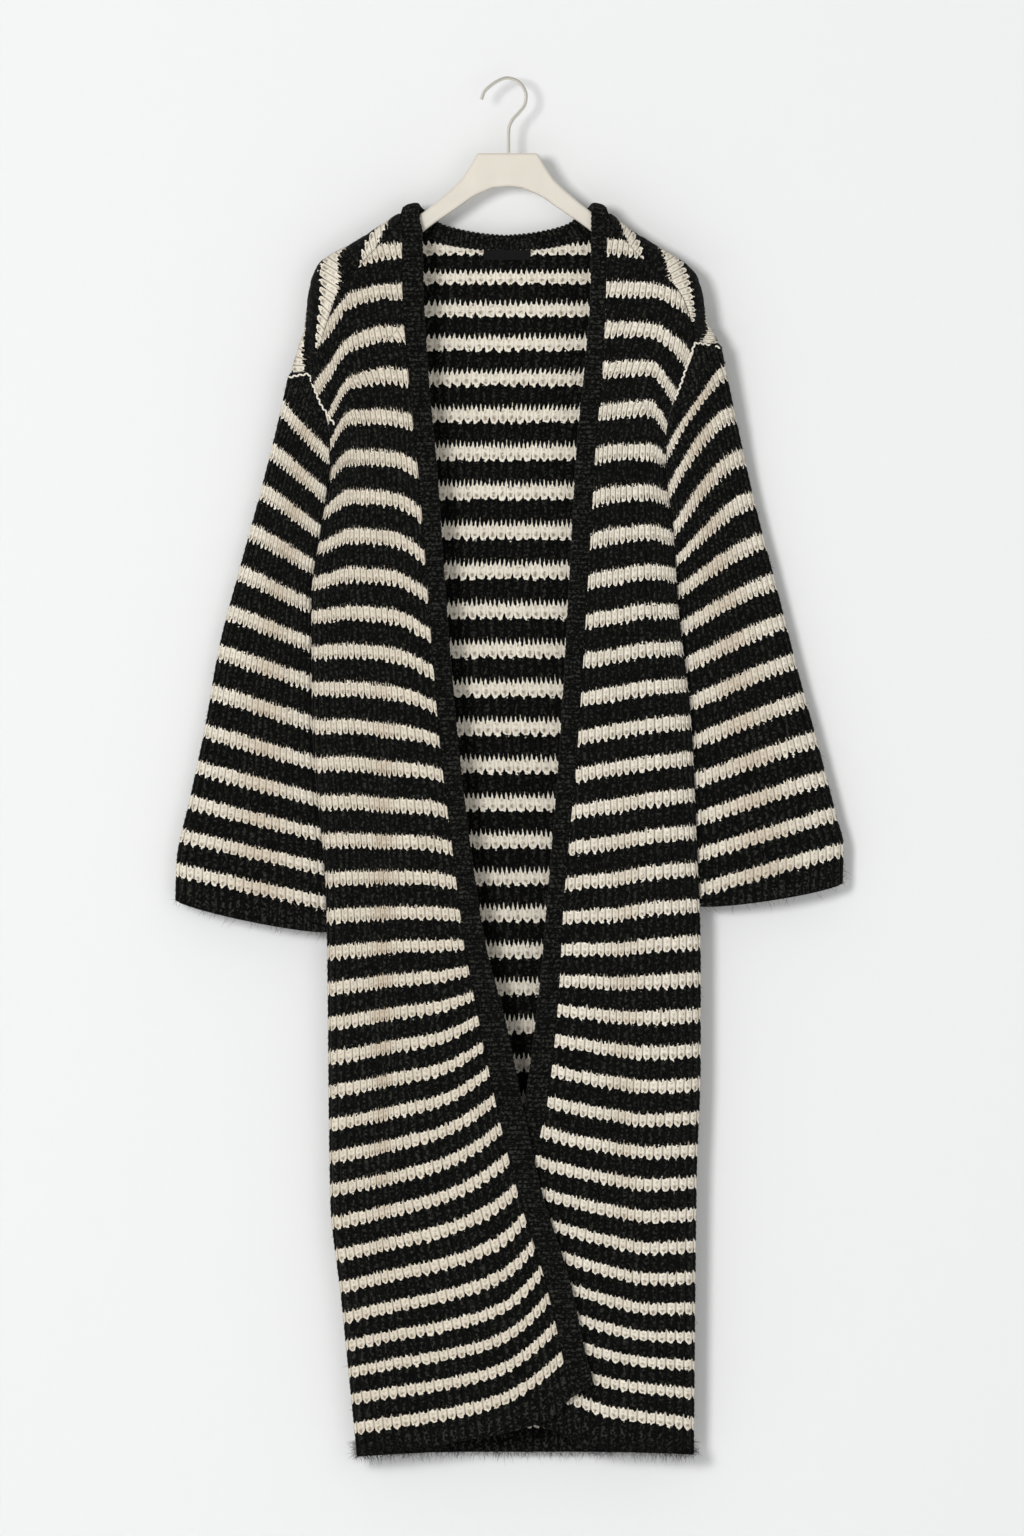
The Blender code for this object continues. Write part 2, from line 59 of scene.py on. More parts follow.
# The body's thickness, and where it turns from front to back.
BODY_DEPTH = 26.0
HEM_THINNER = 0.2
THINNER_DROPS = (900, 1380)
SIDE_POWER = 2.4
FOLD_REACH = 80.0
ARMHOLE_REACH = 60.0
ARMHOLE_TOP = 290.0
UNDERARM = 385.0
OVERLAP_LIFT = 11.0
OVERLAP_DROPS = (900, 1080)
OVERLAP_X = (-90, -10)
LEAST_DEPTH = 0.3
BACK_RETURN = 50.0
RETURN_SHARE = 0.15
NECK_START = 6
WRAP_BLEND = 150
WRAP_TURN = (-4, 10)
NEAR = 0.4

# Ribs and rows of each piece, mesh steps to each, and the grid on which stripes are read.
BACK_RIBS = 40
WRAP_DENSER = 2.5
FRONT_RIBS = 20
SLEEVE_RIBS = 40
STRIPE_ROWS = 5
FRONT_STEPS = 6
FRONT_ROWS = 640
BACK_STEPS = 4
BACK_ROWS = 290
SLEEVE_STEPS = 4
SLEEVE_ROWS = 280
STRIPE_TABLE_X = 60
STRIPE_TABLE_DROPS = (90, 1450, 681)

# Points of the fine lines that are then divided evenly, and the drop of the fronts' one.
FINE = 400
FITTING_DROP = 700.0
WRAP_FINE = 40
BACK_FINE = 700
BACK_CROWDING = 1.6
HEAD_FINE = (20, 60)
RING_FINE = 120
BAND_FINE = 600
NECK_FINE = 260

# The sleeves: gaps, depth, and how they bow, tuck in and set back along their length.
SLEEVE_GAP = 1.4
HEAD_LOWER = 0.6
UNDERARM_GAP = 8
TUCK = 3.0
TUCK_SHARES = (0.1, 0.45)
CUFF_BOW = 7
SLEEVE_DEEP = 15
BELL_DEEPER = 3
SLEEVE_ROUND = 0.6
SLEEVE_BACK = 0.85
SET_BACK = 15
SET_BACK_SHARE = 0.28
FIRST_RING = 1 / 9
NARROWEST = 12
FIRST_SLOPE = 48
LEFT_CUFF = 852
RIGHT_CUFF = 826

# The front band: its section, ridges, and how it widens round the neck and slants at the hem.
BAND_STEPS = 5
BAND_ROUND = 14
BAND_SQUARE = 0.7
BAND_HALF = 2.2
BAND_PITCH = 5.0
BAND_RIDGE = 1.9
RIDGE_POWER = 0.8
BAND_COVER = 1.04
BAND_BUMP = 0.06
NECK_LOW = 200
NECK_HALF = 70.0
NECK_COVER = 0.15
NECK_BUMP = 0.2
BAND_TURN = 150
BAND_SLANT = 12
SLANT_FROM = 1260

# Loose fibres: half width, length, spread, and how far they may reach toward the front or the wall.
FIBRE = 0.15
HAIR_SHORT = 3.0
HAIR_MORE = 4.0
EDGE_LONGER = 2.3
EDGE_PART = 4
HAIR_SPREAD = 0.75
HAIR_SAG = 0.8
HAIR_BEND = 0.9
HAIR_TAPER = 0.8
HAIR_DEPTH = 4.5
HAIR_POINTS = 7

# Colours, the cream rows of a stripe, its open stitches with painted shade, and where painted shade dims the
# cream toward tan.
CREAM = (0.855, 0.80, 0.685)
# TAN is the painted shade colour of the folds, the lifted front and the sleeves' middles.
TAN = (0.60, 0.50, 0.38)
# WARM_SHADE tints the cream's painted shade in the stitch holes and between the ribs.
WARM_SHADE = (0.22, 0.17, 0.12)
BLACK = (0.004, 0.004, 0.0034)
BLACK_LOW = 0.3
# BLACK_TUFT sets the lighter flecks of the black; they sit on the rib crests as painted light.
BLACK_TUFT = 7.0
CREAM_ROWS = 1.62
UPPER_HOLE = (-0.32, 0.26)
UPPER_HOLE_SHARE = 0.55
LOWER_HOLE = (0.52, 0.3)
HOLE_WIDE = 0.46
# SHADE_MOST scales the painted tan shade; the rest set where it falls: over the lifted front, in narrower
# folds, and across the sleeves' middles.
SHADE_MOST = 0.4
LIFTED_DIM = 0.3
DIM_NARROWER = 1.3
SLEEVE_DIM = 0.6
DIM_MIDDLE = 0.55
DIM_HALF = 0.22

# The yarn: noise scales and strengths, gloss and bump. Looks: spike, loop, chevron, and the painted shade
# between ribs.
WANDER_FINE = 330.0
WANDER = 1.3
SPECK_FINE = 1100.0
SPECK_FROM = 0.6
SPECK_DARK = 0.2
SPECK_HIGH = 0.35
BLOTCH_FINE = 70.0
BLOTCH = (0.35, 0.82)
TUFT_FINE = 400.0
TUFT = (6.0, -2.9)
# OPEN_DARK sets how deep the painted shade in the stitch holes and between the ribs goes.
OPEN_DARK = 0.95
WOOL_ROUGH = 0.95
WOOL = {"Sheen Weight": 0.03, "Sheen Roughness": 0.6, "Specular IOR Level": 0.05}
KNIT_BUMP = (0.8, 0.0012)
GRAIN_DEEP = 0.0005
GRAIN_DARK = 0.86
STRIPED_LOOK = (0.4, 0.5, 0.25, 0.85)
INSIDE_LOOK = (0.95, 0.6, 0.1, 0.4)

# Plain finishes. Values: name, colour, roughness, grain scale and depth, metallic, shine.
LINK_LOOK = ("linking_yarn", CREAM, 0.9, 900.0, 0.4)
PLAIN_LOOKS = {
    "hanger_body": ("hanger_cream", (0.70, 0.65, 0.56), 0.42, 40.0, 0.05),
    "neck_label": ("label_satin", (0.004, 0.004, 0.004), 0.7, 900.0, 0.1, 0.0, 0.1),
    "hanger_hook": ("hook_nickel", (0.66, 0.63, 0.56), 0.36, 500.0, 0.02, 0.7),
}

# The stage, in metres: wall, lights and camera. Lights: name, size, energy, place, aim.
WALL_Y = 0.038
WALL_TOP = 1.6
WALL_FOOT = -1.9
WALL_HALF = 5.0
CURVE = 0.5
FLOOR_FRONT = -9.0
WALL_COLOUR = (0.80, 0.805, 0.803)
LIGHTS = [
    ("key", 1.9, 337, (-2.7, -7.4, 0.5), (0, 0, -0.65)),
    ("fill", 3.0, 34, (1.4, -5.0, -0.6), (0, 0, -0.7)),
]
ROOM_LIGHT = 0.39
FILM = 36.0
FRAME_HIGH = 1.536
CAMERA_AWAY = 20.0
FRONT_Y = -0.016
CENTRE_X = 0.0045
CENTRE_Z = -0.689

# Edges of the front and back panels: armhole, then side seam. Columns: drop, x.
LEFT_EDGE = [
    (130, -204), (293, -198.5), (314, -191), (338, -181), (361, -177), (385, -177), (453, -186),
    (520, -195), (643, -194), (824, -180), (1121, -176), (1221, -165), (1281, -159), (1390, -148),
]
RIGHT_EDGE = [
    (130, 198), (264, 187.5), (305, 173.5), (338, 161), (361, 158), (385, 158), (450, 164.5),
    (526, 169.5), (643, 182.5), (749, 187.5), (881, 192), (981, 192), (1100, 188), (1390, 185),
]
# Shoulder folds as the front view shows them. Columns: share, x, drop.
LEFT_FOLD = [
    (0.0, -216.5, 294), (0.03, -209.5, 269), (0.05, -203.5, 250), (0.085, -199.5, 218),
    (0.11, -196, 200), (0.14, -186.5, 182), (0.18, -155, 164), (0.22, -127, 146),
    (0.25, -109, 134), (0.2625, -105, 131), (0.29, -92, 127), (0.5, -3, 127),
]
RIGHT_FOLD = [
    (0.0, 211.5, 265), (0.03, 206, 253), (0.05, 199.5, 242), (0.085, 195, 215),
    (0.11, 189, 196), (0.14, 173.5, 181), (0.18, 145, 164), (0.22, 118.5, 147),
    (0.25, 103.5, 134), (0.2625, 100, 131), (0.29, 86, 127), (0.5, -3, 127),
]
# Forward shoulder seams, from the armhole to the neck. Columns: share, x, drop.
LEFT_SEAM = [
    (0.0, -198.5, 292.4), (0.05, -188, 265), (0.085, -179, 238), (0.11, -171, 217),
    (0.14, -159, 199), (0.18, -144.5, 182), (0.22, -125.5, 162), (0.25, -109, 146), (0.3, -106, 142),
]
RIGHT_SEAM = [
    (0.0, 187.5, 263.4), (0.05, 183, 238), (0.085, 176, 219), (0.11, 167, 206),
    (0.14, 152, 194), (0.18, 132.5, 177), (0.22, 115, 158), (0.25, 104.5, 146), (0.3, 101, 142),
]
# Front band: its sewn edge and its free edge. Columns: drop, sewn x, free x.
LEFT_BAND = [
    (160, -105, -86), (212, -104.5, -84.5), (296, -98.5, -79.5), (396, -88.5, -70.5),
    (518, -78.5, -62), (661, -67.5, -50), (771, -54.5, -37), (865, -42.5, -22.5),
    (945, -27.5, -2), (1027, -10.5, 14.5), (1114, 11, 34), (1203, 38.5, 62), (1290, 58.5, 80),
    (1330, 67, 88),
]
RIGHT_BAND = [
    (160, 99, 84.5), (212, 98, 83.5), (289, 94.5, 77.5), (371, 87.5, 69.5), (441, 83.5, 65.5),
    (661, 70, 53), (835, 55, 39), (903, 51.5, 33), (964, 46.5, 26), (1022, 39.5, 18),
    (1080, 27, 6), (1221, 9, -11), (1370, -3, -22),
]
# The band over the shoulder and round the back neck, from the front to the middle of the back.
# Columns: sewn x, drop, depth, then free x, drop, depth.
LEFT_NECK = [
    (-105, 141, -15.5, -88.5, 141, -15.5), (-104.5, 131, -10, -89.5, 128, -10),
    (-103, 127, 0, -89, 124, 0), (-99, 133, 11, -86.5, 127.5, 9.5),
    (-91, 146, 18, -79, 134, 15.5), (-72, 159.5, 21.5, -67, 144.5, 19),
    (-48, 165.5, 22.5, -45, 151.5, 20.5), (-24, 168, 23, -22, 155.5, 21), (-2, 168.5, 23.2, -2, 157, 21.2),
]
RIGHT_NECK = [
    (99, 141, -15.5, 84.5, 141, -15.5), (98.5, 131, -10, 85, 128, -10),
    (97.5, 127, 0, 84.5, 124, 0), (94, 133, 11, 81.5, 127.5, 9.5),
    (86, 146, 18, 74, 134, 15.5), (70, 159.5, 21.5, 62, 144.5, 19),
    (46, 165.5, 22.5, 41, 151.5, 20.5), (22, 168, 23, 18, 155.5, 21), (-2, 168.5, 23.2, -2, 157, 21.2),
]
# Shares of the back's width at which its neck edge passes each row of the two tables above.
NECK_SHARES = [0.25, 0.256, 0.2625, 0.275, 0.2875, 0.325, 0.385, 0.443, 0.5]
# Hems, along each panel from its side edge (share 0). Columns: share, drop.
LEFT_HEM = [(0.0, 1378), (0.2, 1372), (0.45, 1363), (0.7, 1353), (0.88, 1340), (1.0, 1318)]
RIGHT_HEM = [(0.0, 1376), (0.3, 1371), (0.55, 1366), (0.75, 1352), (0.9, 1342), (1.0, 1332)]
BACK_HEM = [(0.0, 1378), (0.3, 1374), (0.5, 1374), (0.7, 1374), (1.0, 1376)]
# Outer edges of the sleeves. Columns: drop, x.
LEFT_SLEEVE = [
    (294, -217), (319, -222.5), (407, -244.5), (488, -266.5), (568, -287.5), (647, -301.5),
    (718, -316.5), (785, -330.5), (821, -331.5),
]
RIGHT_SLEEVE = [
    (265, 212), (332, 226), (424, 246.5), (501, 266.5), (599, 291.5), (659, 308),
    (738, 328.5), (767, 335.5), (804, 334.5),
]
# Linking stitches that show along the armholes. Columns: x, drop.
LEFT_LINKS = [(-217.5, 298), (-208, 296), (-198.5, 295), (-191.5, 314), (-186.5, 326), (-172.5, 346)]
RIGHT_LINKS = [(211, 268), (199, 265), (187.5, 264), (180, 285), (173.5, 305), (167.5, 320)]
LINK_PITCH = 3.2
LINK_LONG = 2.3
LINK_THICK = 1.0
LINK_LIFT = 2.2
LINK_LEANS = (-0.5, 0.7)
LINK_ROUND = 8
LINK_RINGS = 6
LINK_CLOSE = 0.15
# Numbers of short fibres on each piece, and how high above its lowest edge the long ones stand.
FUZZ = {
    "right_front": 2600, "left_front": 2600, "back": 3200,
    "right_sleeve": 1500, "left_sleeve": 1500, "front_band": 1800,
}
EDGE_HIGH = {"right_front": 14, "left_front": 14, "back": 8, "right_sleeve": 34, "left_sleeve": 40}

# Soft vertical folds. Columns: x, half width, deepest drop, reach up and down, depth.
FRONT_FOLDS = [
    (-125, 22, 830, 330, 5.0), (-60, 20, 1190, 170, 2.5), (118, 24, 960, 300, 2.5),
    (150, 16, 470, 150, 3.0), (-158, 16, 470, 130, 2.5),
]
BACK_FOLDS = [(-110, 30, 620, 300, 4.0), (96, 28, 760, 330, 4.0), (-12, 26, 1100, 260, 3.0)]

# Places where folds pinch the ribs together and where the cream is given painted shade. Columns: x, half
# width, deepest drop, reach, share.
PINCHES = [(-125, 17, 880, 330, 0.8), (118, 18, 960, 260, 0.4)]
# Width of one rib on the fronts. Columns: drop, pitch.
RIB_PITCHES = [(150, 7.4), (420, 8.2), (700, 9.4), (1400, 9.4)]

# Where the middle of a cream stripe lies. Rows: stripe number, then drop at each x of the heading.
LEFT_STRIPE_X = [-197, -183, -157, -117, -67, -7, 55]
LEFT_STRIPES = [
    (-1, 172, 166, 150, 131, 130, 130, 130), (0, 212, 205, 185, 171, 170, 170, 170),
    (1, 262, 252, 220, 211, 212, 212, 212), (2, 318, 298, 264, 253, 254, 256, 256),
    (3, 362, 345, 303, 295, 298, 300, 300), (4, 388, 374, 337, 336, 341, 345, 345),
    (5, 412, 402, 377, 377, 385, 390, 390),
    (9, 538, 536, 533, 535, 552, 560, 560), (13, 684, 684, 684, 688, 690, 700, 700),
    (17, 838, 837, 835, 833, 832, 825, 800), (21, 985, 980, 975, 967, 958, 925, 880),
    (25, 1117, 1112, 1107, 1098, 1085, 1053, 1005), (29, 1250, 1244, 1237, 1227, 1217, 1197, 1142),
    (33, 1362, 1357, 1350, 1343, 1335, 1320, 1283), (35, 1430, 1425, 1420, 1412, 1400, 1384, 1350),
]
RIGHT_STRIPE_X = [0, 52, 102, 142, 170, 184, 196]
RIGHT_STRIPES = [
    (-1, 128, 128, 128, 138, 150, 156, 162), (0, 168, 168, 167, 173, 179, 183, 187),
    (1, 212, 212, 209, 210, 219, 227, 230), (2, 250, 250, 249, 250, 267, 283, 294),
    (3, 292, 292, 289, 288, 320, 338, 346), (4, 336, 335, 330, 328, 366, 382, 390),
    (5, 380, 378, 371, 371, 394, 410, 418),
    (9, 545, 540, 537, 531, 532, 534, 536), (13, 700, 695, 689, 683, 680, 679, 679),
    (17, 838, 836, 835, 829, 827, 826, 826), (21, 950, 961, 969, 973, 972, 971, 970),
    (25, 1075, 1089, 1099, 1105, 1104, 1103, 1102), (29, 1188, 1205, 1221, 1229, 1229, 1229, 1229),
    (33, 1298, 1314, 1332, 1338, 1342, 1344, 1345), (35, 1362, 1380, 1398, 1408, 1412, 1413, 1414),
]
# The back's stripes are level. Columns: drop, stripe number.
BACK_STRIPES = [
    (100, -2.2), (139, -1), (168, 0), (197, 1), (229, 2), (298, 4), (372, 6), (451, 8), (609, 12),
    (761, 16), (908, 20), (1021, 23), (1342, 33), (1412, 35),
]
# Stripe numbers of the back where it wraps forward. Columns: share, at the fold, at the seam.
WRAP_STRIPES = [
    (0.0, 1.3, 0.75), (0.03, 1.1, 0.35), (0.055, 0.96, 0.0), (0.1, 0.62, -0.12), (0.13, 0.36, -0.25),
    (0.166, 0.0, -0.66), (0.188, -0.35, -1.0), (0.225, -1.0, -1.28), (0.25, -1.35, -1.5),
]
# How far a stripe's end dips beside the band. Columns: drop, dip.
BAND_DIPS = [(150, 0), (330, 4), (430, 13), (560, 7), (800, 6), (960, 0), (1050, -5), (1330, -7)]
DIP_REACH = 15.0
UNDER_DIP = 0.45
# Sleeve stripes at the outer edge. Columns: drop, stripe number.
LEFT_SLEEVE_STRIPES = [
    (245, -2), (287, -1), (329, 0), (371, 1), (411, 2), (493, 4), (572, 6), (651, 8), (722, 10),
    (790, 12), (862, 14),
]
RIGHT_SLEEVE_STRIPES = [
    (211, -2), (253, -1), (293, 0), (334, 1), (377, 2), (461, 4), (542, 6), (620, 8), (698, 10),
    (770, 12), (842, 14),
]
# How much lower a sleeve stripe lies at the inner edge. Columns: drop, left, right.
SLEEVE_SLOPES = [(300, 50, 84), (380, 46, 76), (460, 36, 54), (560, 32, 44), (700, 33, 42), (830, 34, 40)]
# How a sleeve stripe curves on its way inward, 1 for straight. Columns: drop, left, right.
SLEEVE_BOWS = [(300, 1.15, 1.85), (420, 1.15, 1.45), (560, 1.1, 1.2), (700, 1.0, 1.1), (830, 1.0, 1.0)]
LAST_BODY_STRIPE = 33
LAST_SLEEVE_STRIPE = 12
FIRST_SLEEVE_STRIPE = 0


def smooth_at(rows, where, column=1):
    """Reads a table's column at a place by a monotone curve through its rows."""
    knots = np.array([row[0] for row in rows], float)
    values = np.array([row[column] for row in rows], float)
    where = np.clip(np.asarray(where, float), knots[0], knots[-1])
    step = np.diff(knots)
    slope = np.diff(values) / step
    same_way = slope[:-1] * slope[1:] > 0
    total = np.where(same_way, slope[:-1] + slope[1:], 1.0)
    middle = np.where(same_way, 2 * slope[:-1] * slope[1:] / total, 0.0)
    tangent = np.concatenate([[slope[0]], middle, [slope[-1]]])
    at = np.clip(np.searchsorted(knots, where, side="right") - 1, 0, len(step) - 1)
    t = (where - knots[at]) / step[at]
    start = (2 * t**3 - 3 * t**2 + 1) * values[at] + (t**3 - 2 * t**2 + t) * step[at] * tangent[at]
    end = (3 * t**2 - 2 * t**3) * values[at + 1] + (t**3 - t**2) * step[at] * tangent[at + 1]
    return start + end


def ease(low, high, value):
    t = np.clip((np.asarray(value, float) - low) / (high - low), 0, 1)
    return t * t * (3 - 2 * t)


def body_turns(drop):
    """Where the body turns from front to back: outside the armholes, and at the side seams below."""
    into = np.clip((np.asarray(drop, float) - ARMHOLE_TOP) / (UNDERARM - ARMHOLE_TOP), 0, 1)
    past = ARMHOLE_REACH * np.sqrt(1 - into**2)
    return smooth_at(LEFT_EDGE, drop) - past, smooth_at(RIGHT_EDGE, drop) + past


def fold_drop(x):
    """How far down the shoulder fold lies at x."""
    left = [(row[1], row[2]) for row in LEFT_FOLD]
    right = [(row[1], row[2]) for row in reversed(RIGHT_FOLD[:-1])]
    return smooth_at(left + right, x)


def half_depth(x, drop):
    """Half the body's thickness from front to back at a place in the front view."""
    left, right = body_turns(drop)
    across = np.clip(abs(2 * x - left - right) / (right - left), 0, 1)
    sides = (1 - across**SIDE_POWER) ** (1 / SIDE_POWER)
    slope = (fold_drop(x + 2) - fold_drop(x - 2)) / 4
    below = np.clip((drop - fold_drop(x)) / np.sqrt(1 + slope**2) / FOLD_REACH, 0, 1)
    top = (1 - (1 - below) ** SIDE_POWER) ** (1 / SIDE_POWER)
    return BODY_DEPTH * (1 - HEM_THINNER * ease(*THINNER_DROPS, drop)) * sides * top


def folds_at(folds, x, drop, steep=2, narrower=1.0):
    """What a table of folds adds up to at a place: each fades to its sides and up and down."""
    total = 0.0
    for middle, half, deepest, reach, depth in folds:
        across = np.exp(-(((x - middle) / half * narrower) ** 2))
        along = np.exp(-(((drop - deepest) / reach) ** steep))
        total = total + depth * across * along
    return total


def overlap_lift(x, drop):
    """How far the front at the viewer's left stands forward where it lies over the other."""
    return OVERLAP_LIFT * ease(*OVERLAP_DROPS, drop) * ease(*OVERLAP_X, x)


def front_point(x, drop, lifted):
    depth = -half_depth(x, drop) + folds_at(FRONT_FOLDS, x, drop)
    if lifted:
        depth = depth - overlap_lift(x, drop)
    return np.stack([x, np.minimum(depth, -LEAST_DEPTH), -drop], axis=-1)


def back_point(x, drop):
    depth = half_depth(x, drop) - folds_at(BACK_FOLDS, x, drop)
    return np.stack([x, np.maximum(depth, LEAST_DEPTH), -drop], axis=-1)


def run_along(line):
    """Length along a line up to each of its points."""
    return np.concatenate([[0], np.cumsum(np.linalg.norm(np.diff(line, axis=0), axis=1))])


def resample(line, places):
    """Points of a dense line at given lengths along it."""
    run = run_along(line)
    return np.stack([np.interp(places, run, line[:, axis]) for axis in range(3)], axis=-1)


def unit(vectors):
    return vectors / np.maximum(np.linalg.norm(vectors, axis=-1, keepdims=True), 1e-9)


def bisectors(grid, axis, closed=False):
    """Direction through each point of a grid along one axis, halfway between its two steps."""
    steps = unit(np.diff(grid, axis=axis))
    first = np.take(steps, [0], axis=axis)
    last = np.take(steps, [-1], axis=axis)
    if closed:
        first = last = unit(np.take(grid, [0], axis=axis) - np.take(grid, [-1], axis=axis))
    return unit(np.concatenate([first, steps], axis=axis) + np.concatenate([steps, last], axis=axis))


def normals(grid, closed):
    """Unit normals of a grid of points, rows by columns."""
    return unit(np.cross(bisectors(grid, 1, closed), bisectors(grid, 0)))


def body_normals(grid):
    """Outward unit normals of the body's front and back, from the shape of its thickness."""
    x, depth, drop = grid[..., 0], grid[..., 1], -grid[..., 2]
    left, right = body_turns(drop)
    x = np.clip(x, left + NEAR, right - NEAR)
    drop = np.maximum(drop, fold_drop(x) + NEAR)
    rise = (half_depth(x + NEAR / 2, drop) - half_depth(x - NEAR / 2, drop)) / NEAR
    fall = (half_depth(x, drop + NEAR / 2) - half_depth(x, drop - NEAR / 2)) / NEAR
    facing = np.where(abs(depth) < NEAR, 0.0, np.sign(depth))
    return unit(np.stack([-rise, facing, fall], axis=-1))


def stripe_number(heading, rows, x, drop):
    """Reads the stripe number at places of a front from its table of stripe middles."""
    across = np.linspace(heading[0], heading[-1], STRIPE_TABLE_X)
    down = np.linspace(*STRIPE_TABLE_DROPS)
    at_x = [smooth_at(list(zip(heading, row[1:])), across) for row in rows]
    numbers = [row[0] for row in rows]
    table = np.array([smooth_at(list(zip(drops, numbers)), down) for drops in np.array(at_x).T])
    i = np.clip((x - across[0]) / (across[1] - across[0]), 0, len(across) - 1.001)
    j = np.clip((drop - down[0]) / (down[1] - down[0]), 0, len(down) - 1.001)
    low_i, low_j = i.astype(int), j.astype(int)
    i, j = i - low_i, j - low_j
    near = table[low_i, low_j] * (1 - j) + table[low_i, low_j + 1] * j
    far = table[low_i + 1, low_j] * (1 - j) + table[low_i + 1, low_j + 1] * j
    return near * (1 - i) + far * i


def stitch_relief(rib, row):
    """Height of the knit over its base: a round rib made of small chevrons, one to a stitch."""
    across = abs(2 * (rib % 1) - 1)
    round_rib = np.sqrt(np.clip(1 - across**2, 0, 1))
    chevron = 0.5 + 0.5 * np.cos(2 * np.pi * (row + CHEVRON * across))
    return RIB * round_rib + STITCH * (chevron - 0.5) * round_rib


def shell(name, outside, inside, stitch_out, stitch_in, finish, closed=False, turned=False):
    """A closed wall between two grids; the inner one has every nth row and column of the outer."""
    rows, columns = outside.shape[:2]
    inner_rows, inner_columns = inside.shape[:2]
    down = (rows - 1) // (inner_rows - 1)
    across = columns // inner_columns if closed else (columns - 1) // (inner_columns - 1)
    base = rows * columns

    def at(row, column):
        return row * columns + column % columns

    def inner_at(row, column):
        return base + row * inner_columns + column % inner_columns

    def quads(place, row_count, column_count, flip):
        row, column = np.meshgrid(np.arange(row_count), np.arange(column_count), indexing="ij")
        corners = [place(row + below, column + beside) for below, beside in ((0, 0), (1, 0), (1, 1), (0, 1))]
        return np.stack(corners[::-1] if flip else corners, axis=-1).reshape(-1, 4)

    last = columns if closed else columns - 1
    inner_last = inner_columns if closed else inner_columns - 1
    outer = quads(at, rows - 1, last, False)
    inner = quads(inner_at, inner_rows - 1, inner_last, True)
    rims = []
    for column in range(inner_last):
        for row, inner_row, flip in ((0, 0, False), (rows - 1, inner_rows - 1, True)):
            rim = [at(row, place) for place in range(column * across, (column + 1) * across + 1)]
            rim += [inner_at(inner_row, column + 1), inner_at(inner_row, column)]
            rims.append(rim[::-1] if flip else rim)
    for row in range(0 if closed else inner_rows - 1):
        for column, inner_column, flip in ((0, 0, True), (columns - 1, inner_columns - 1, False)):
            rim = [at(place, column) for place in range(row * down, (row + 1) * down + 1)]
            rim += [inner_at(row + 1, inner_column), inner_at(row, inner_column)]
            rims.append(rim[::-1] if flip else rim)
    points = np.concatenate([outside.reshape(-1, 3), inside.reshape(-1, 3)])
    stitches = np.concatenate([stitch_out.reshape(-1, 3), stitch_in.reshape(-1, 3)])
    item = mesh_of(name, points, [outer, inner], rims, finish, turned)
    add_stitches(item, stitches)
    return item


def mesh_of(name, points, blocks, polygons, finish, turned=False):
    """A mesh from blocks of equal faces and a list of other polygons, in millimetres."""
    starts, corners = [], []
    total = 0
    for block in [*blocks, *(np.array([polygon]) for polygon in polygons)]:
        block = block if turned else block[:, ::-1]
        starts.append(total + np.arange(len(block)) * block.shape[1])
        corners.append(block.reshape(-1))
        total += block.size
    starts = np.concatenate(starts)
    mesh = bpy.data.meshes.new(name)
    mesh.vertices.add(len(points))
    mesh.vertices.foreach_set("co", (np.asarray(points) * MM).reshape(-1))
    mesh.loops.add(total)
    mesh.loops.foreach_set("vertex_index", np.concatenate(corners).astype(np.int32))
    mesh.polygons.add(len(starts))
    mesh.polygons.foreach_set("loop_start", starts.astype(np.int32))
    mesh.update(calc_edges=True)
    mesh.validate()
    mesh.polygons.foreach_set("use_smooth", np.ones(len(mesh.polygons), bool))
    mesh.materials.append(finish)
    item = bpy.data.objects.new(name, mesh)
    bpy.context.scene.collection.objects.link(item)
    return item


def tube_faces(rings, around, base=0):
    """Faces of a tube of equal rings of points, and its two end caps."""
    row, column = np.meshgrid(np.arange(rings - 1), np.arange(around), indexing="ij")
    after = (column + 1) % around
    near, far = base + row * around, base + (row + 1) * around
    faces = np.stack([near + column, far + column, far + after, near + after], axis=-1)
    first = base + np.arange(around)
    return faces.reshape(-1, 4), [first, first[::-1] + (rings - 1) * around]


def add_stitches(item, stitches):
    """Stores rib number, stitch row, and how black the place stays or how deep its painted shade is, at each
    point.
    """
    layer = item.data.attributes.new("stitch", "FLOAT_VECTOR", "POINT")
    layer.data.foreach_set("vector", np.asarray(stitches, float).reshape(-1))


def stitch_values(ribs, stripes, last_stripe, first_stripe=-9, shade=0.0):
    """Rib number, stitch row, and how black or how shaded the knit stays, at each point."""
    past = np.maximum(stripes - last_stripe, first_stripe - stripes) - 0.5
    black = np.clip(past * STRIPE_ROWS * 4, 0, 1)
    return np.stack([ribs, stripes * STRIPE_ROWS, np.maximum(black, shade * SHADE_MOST)], axis=-1)


def knit_shell(name, grid, facing, stitches, strides, finish, side, closed=False):
    """A knitted wall: stitches raised on the outside of a grid, a plainer inside."""
    outside = grid + facing * stitch_relief(stitches[..., 0], stitches[..., 1])[..., None]
    down, across = strides
    inner = (slice(None, None, down), slice(None, None, across))
    inside = (grid - facing * WALL)[inner]
    return shell(name, outside, inside, stitches, stitches[inner], finish, closed, side < 0)


def ribs_across(grid, x, drop):
    """Rib numbers across a front from its side: evenly spaced ribs, drawn together in a pinched fold."""
    closer = 1 + folds_at(PINCHES, x, drop, 4)
    steps = np.linalg.norm(np.diff(grid, axis=1), axis=-1) * (closer[:, 1:] + closer[:, :-1]) / 2
    run = np.concatenate([np.zeros((len(grid), 1)), np.cumsum(steps, axis=1)], axis=1)
    return 0.5 + run / smooth_at(RIB_PITCHES, drop)


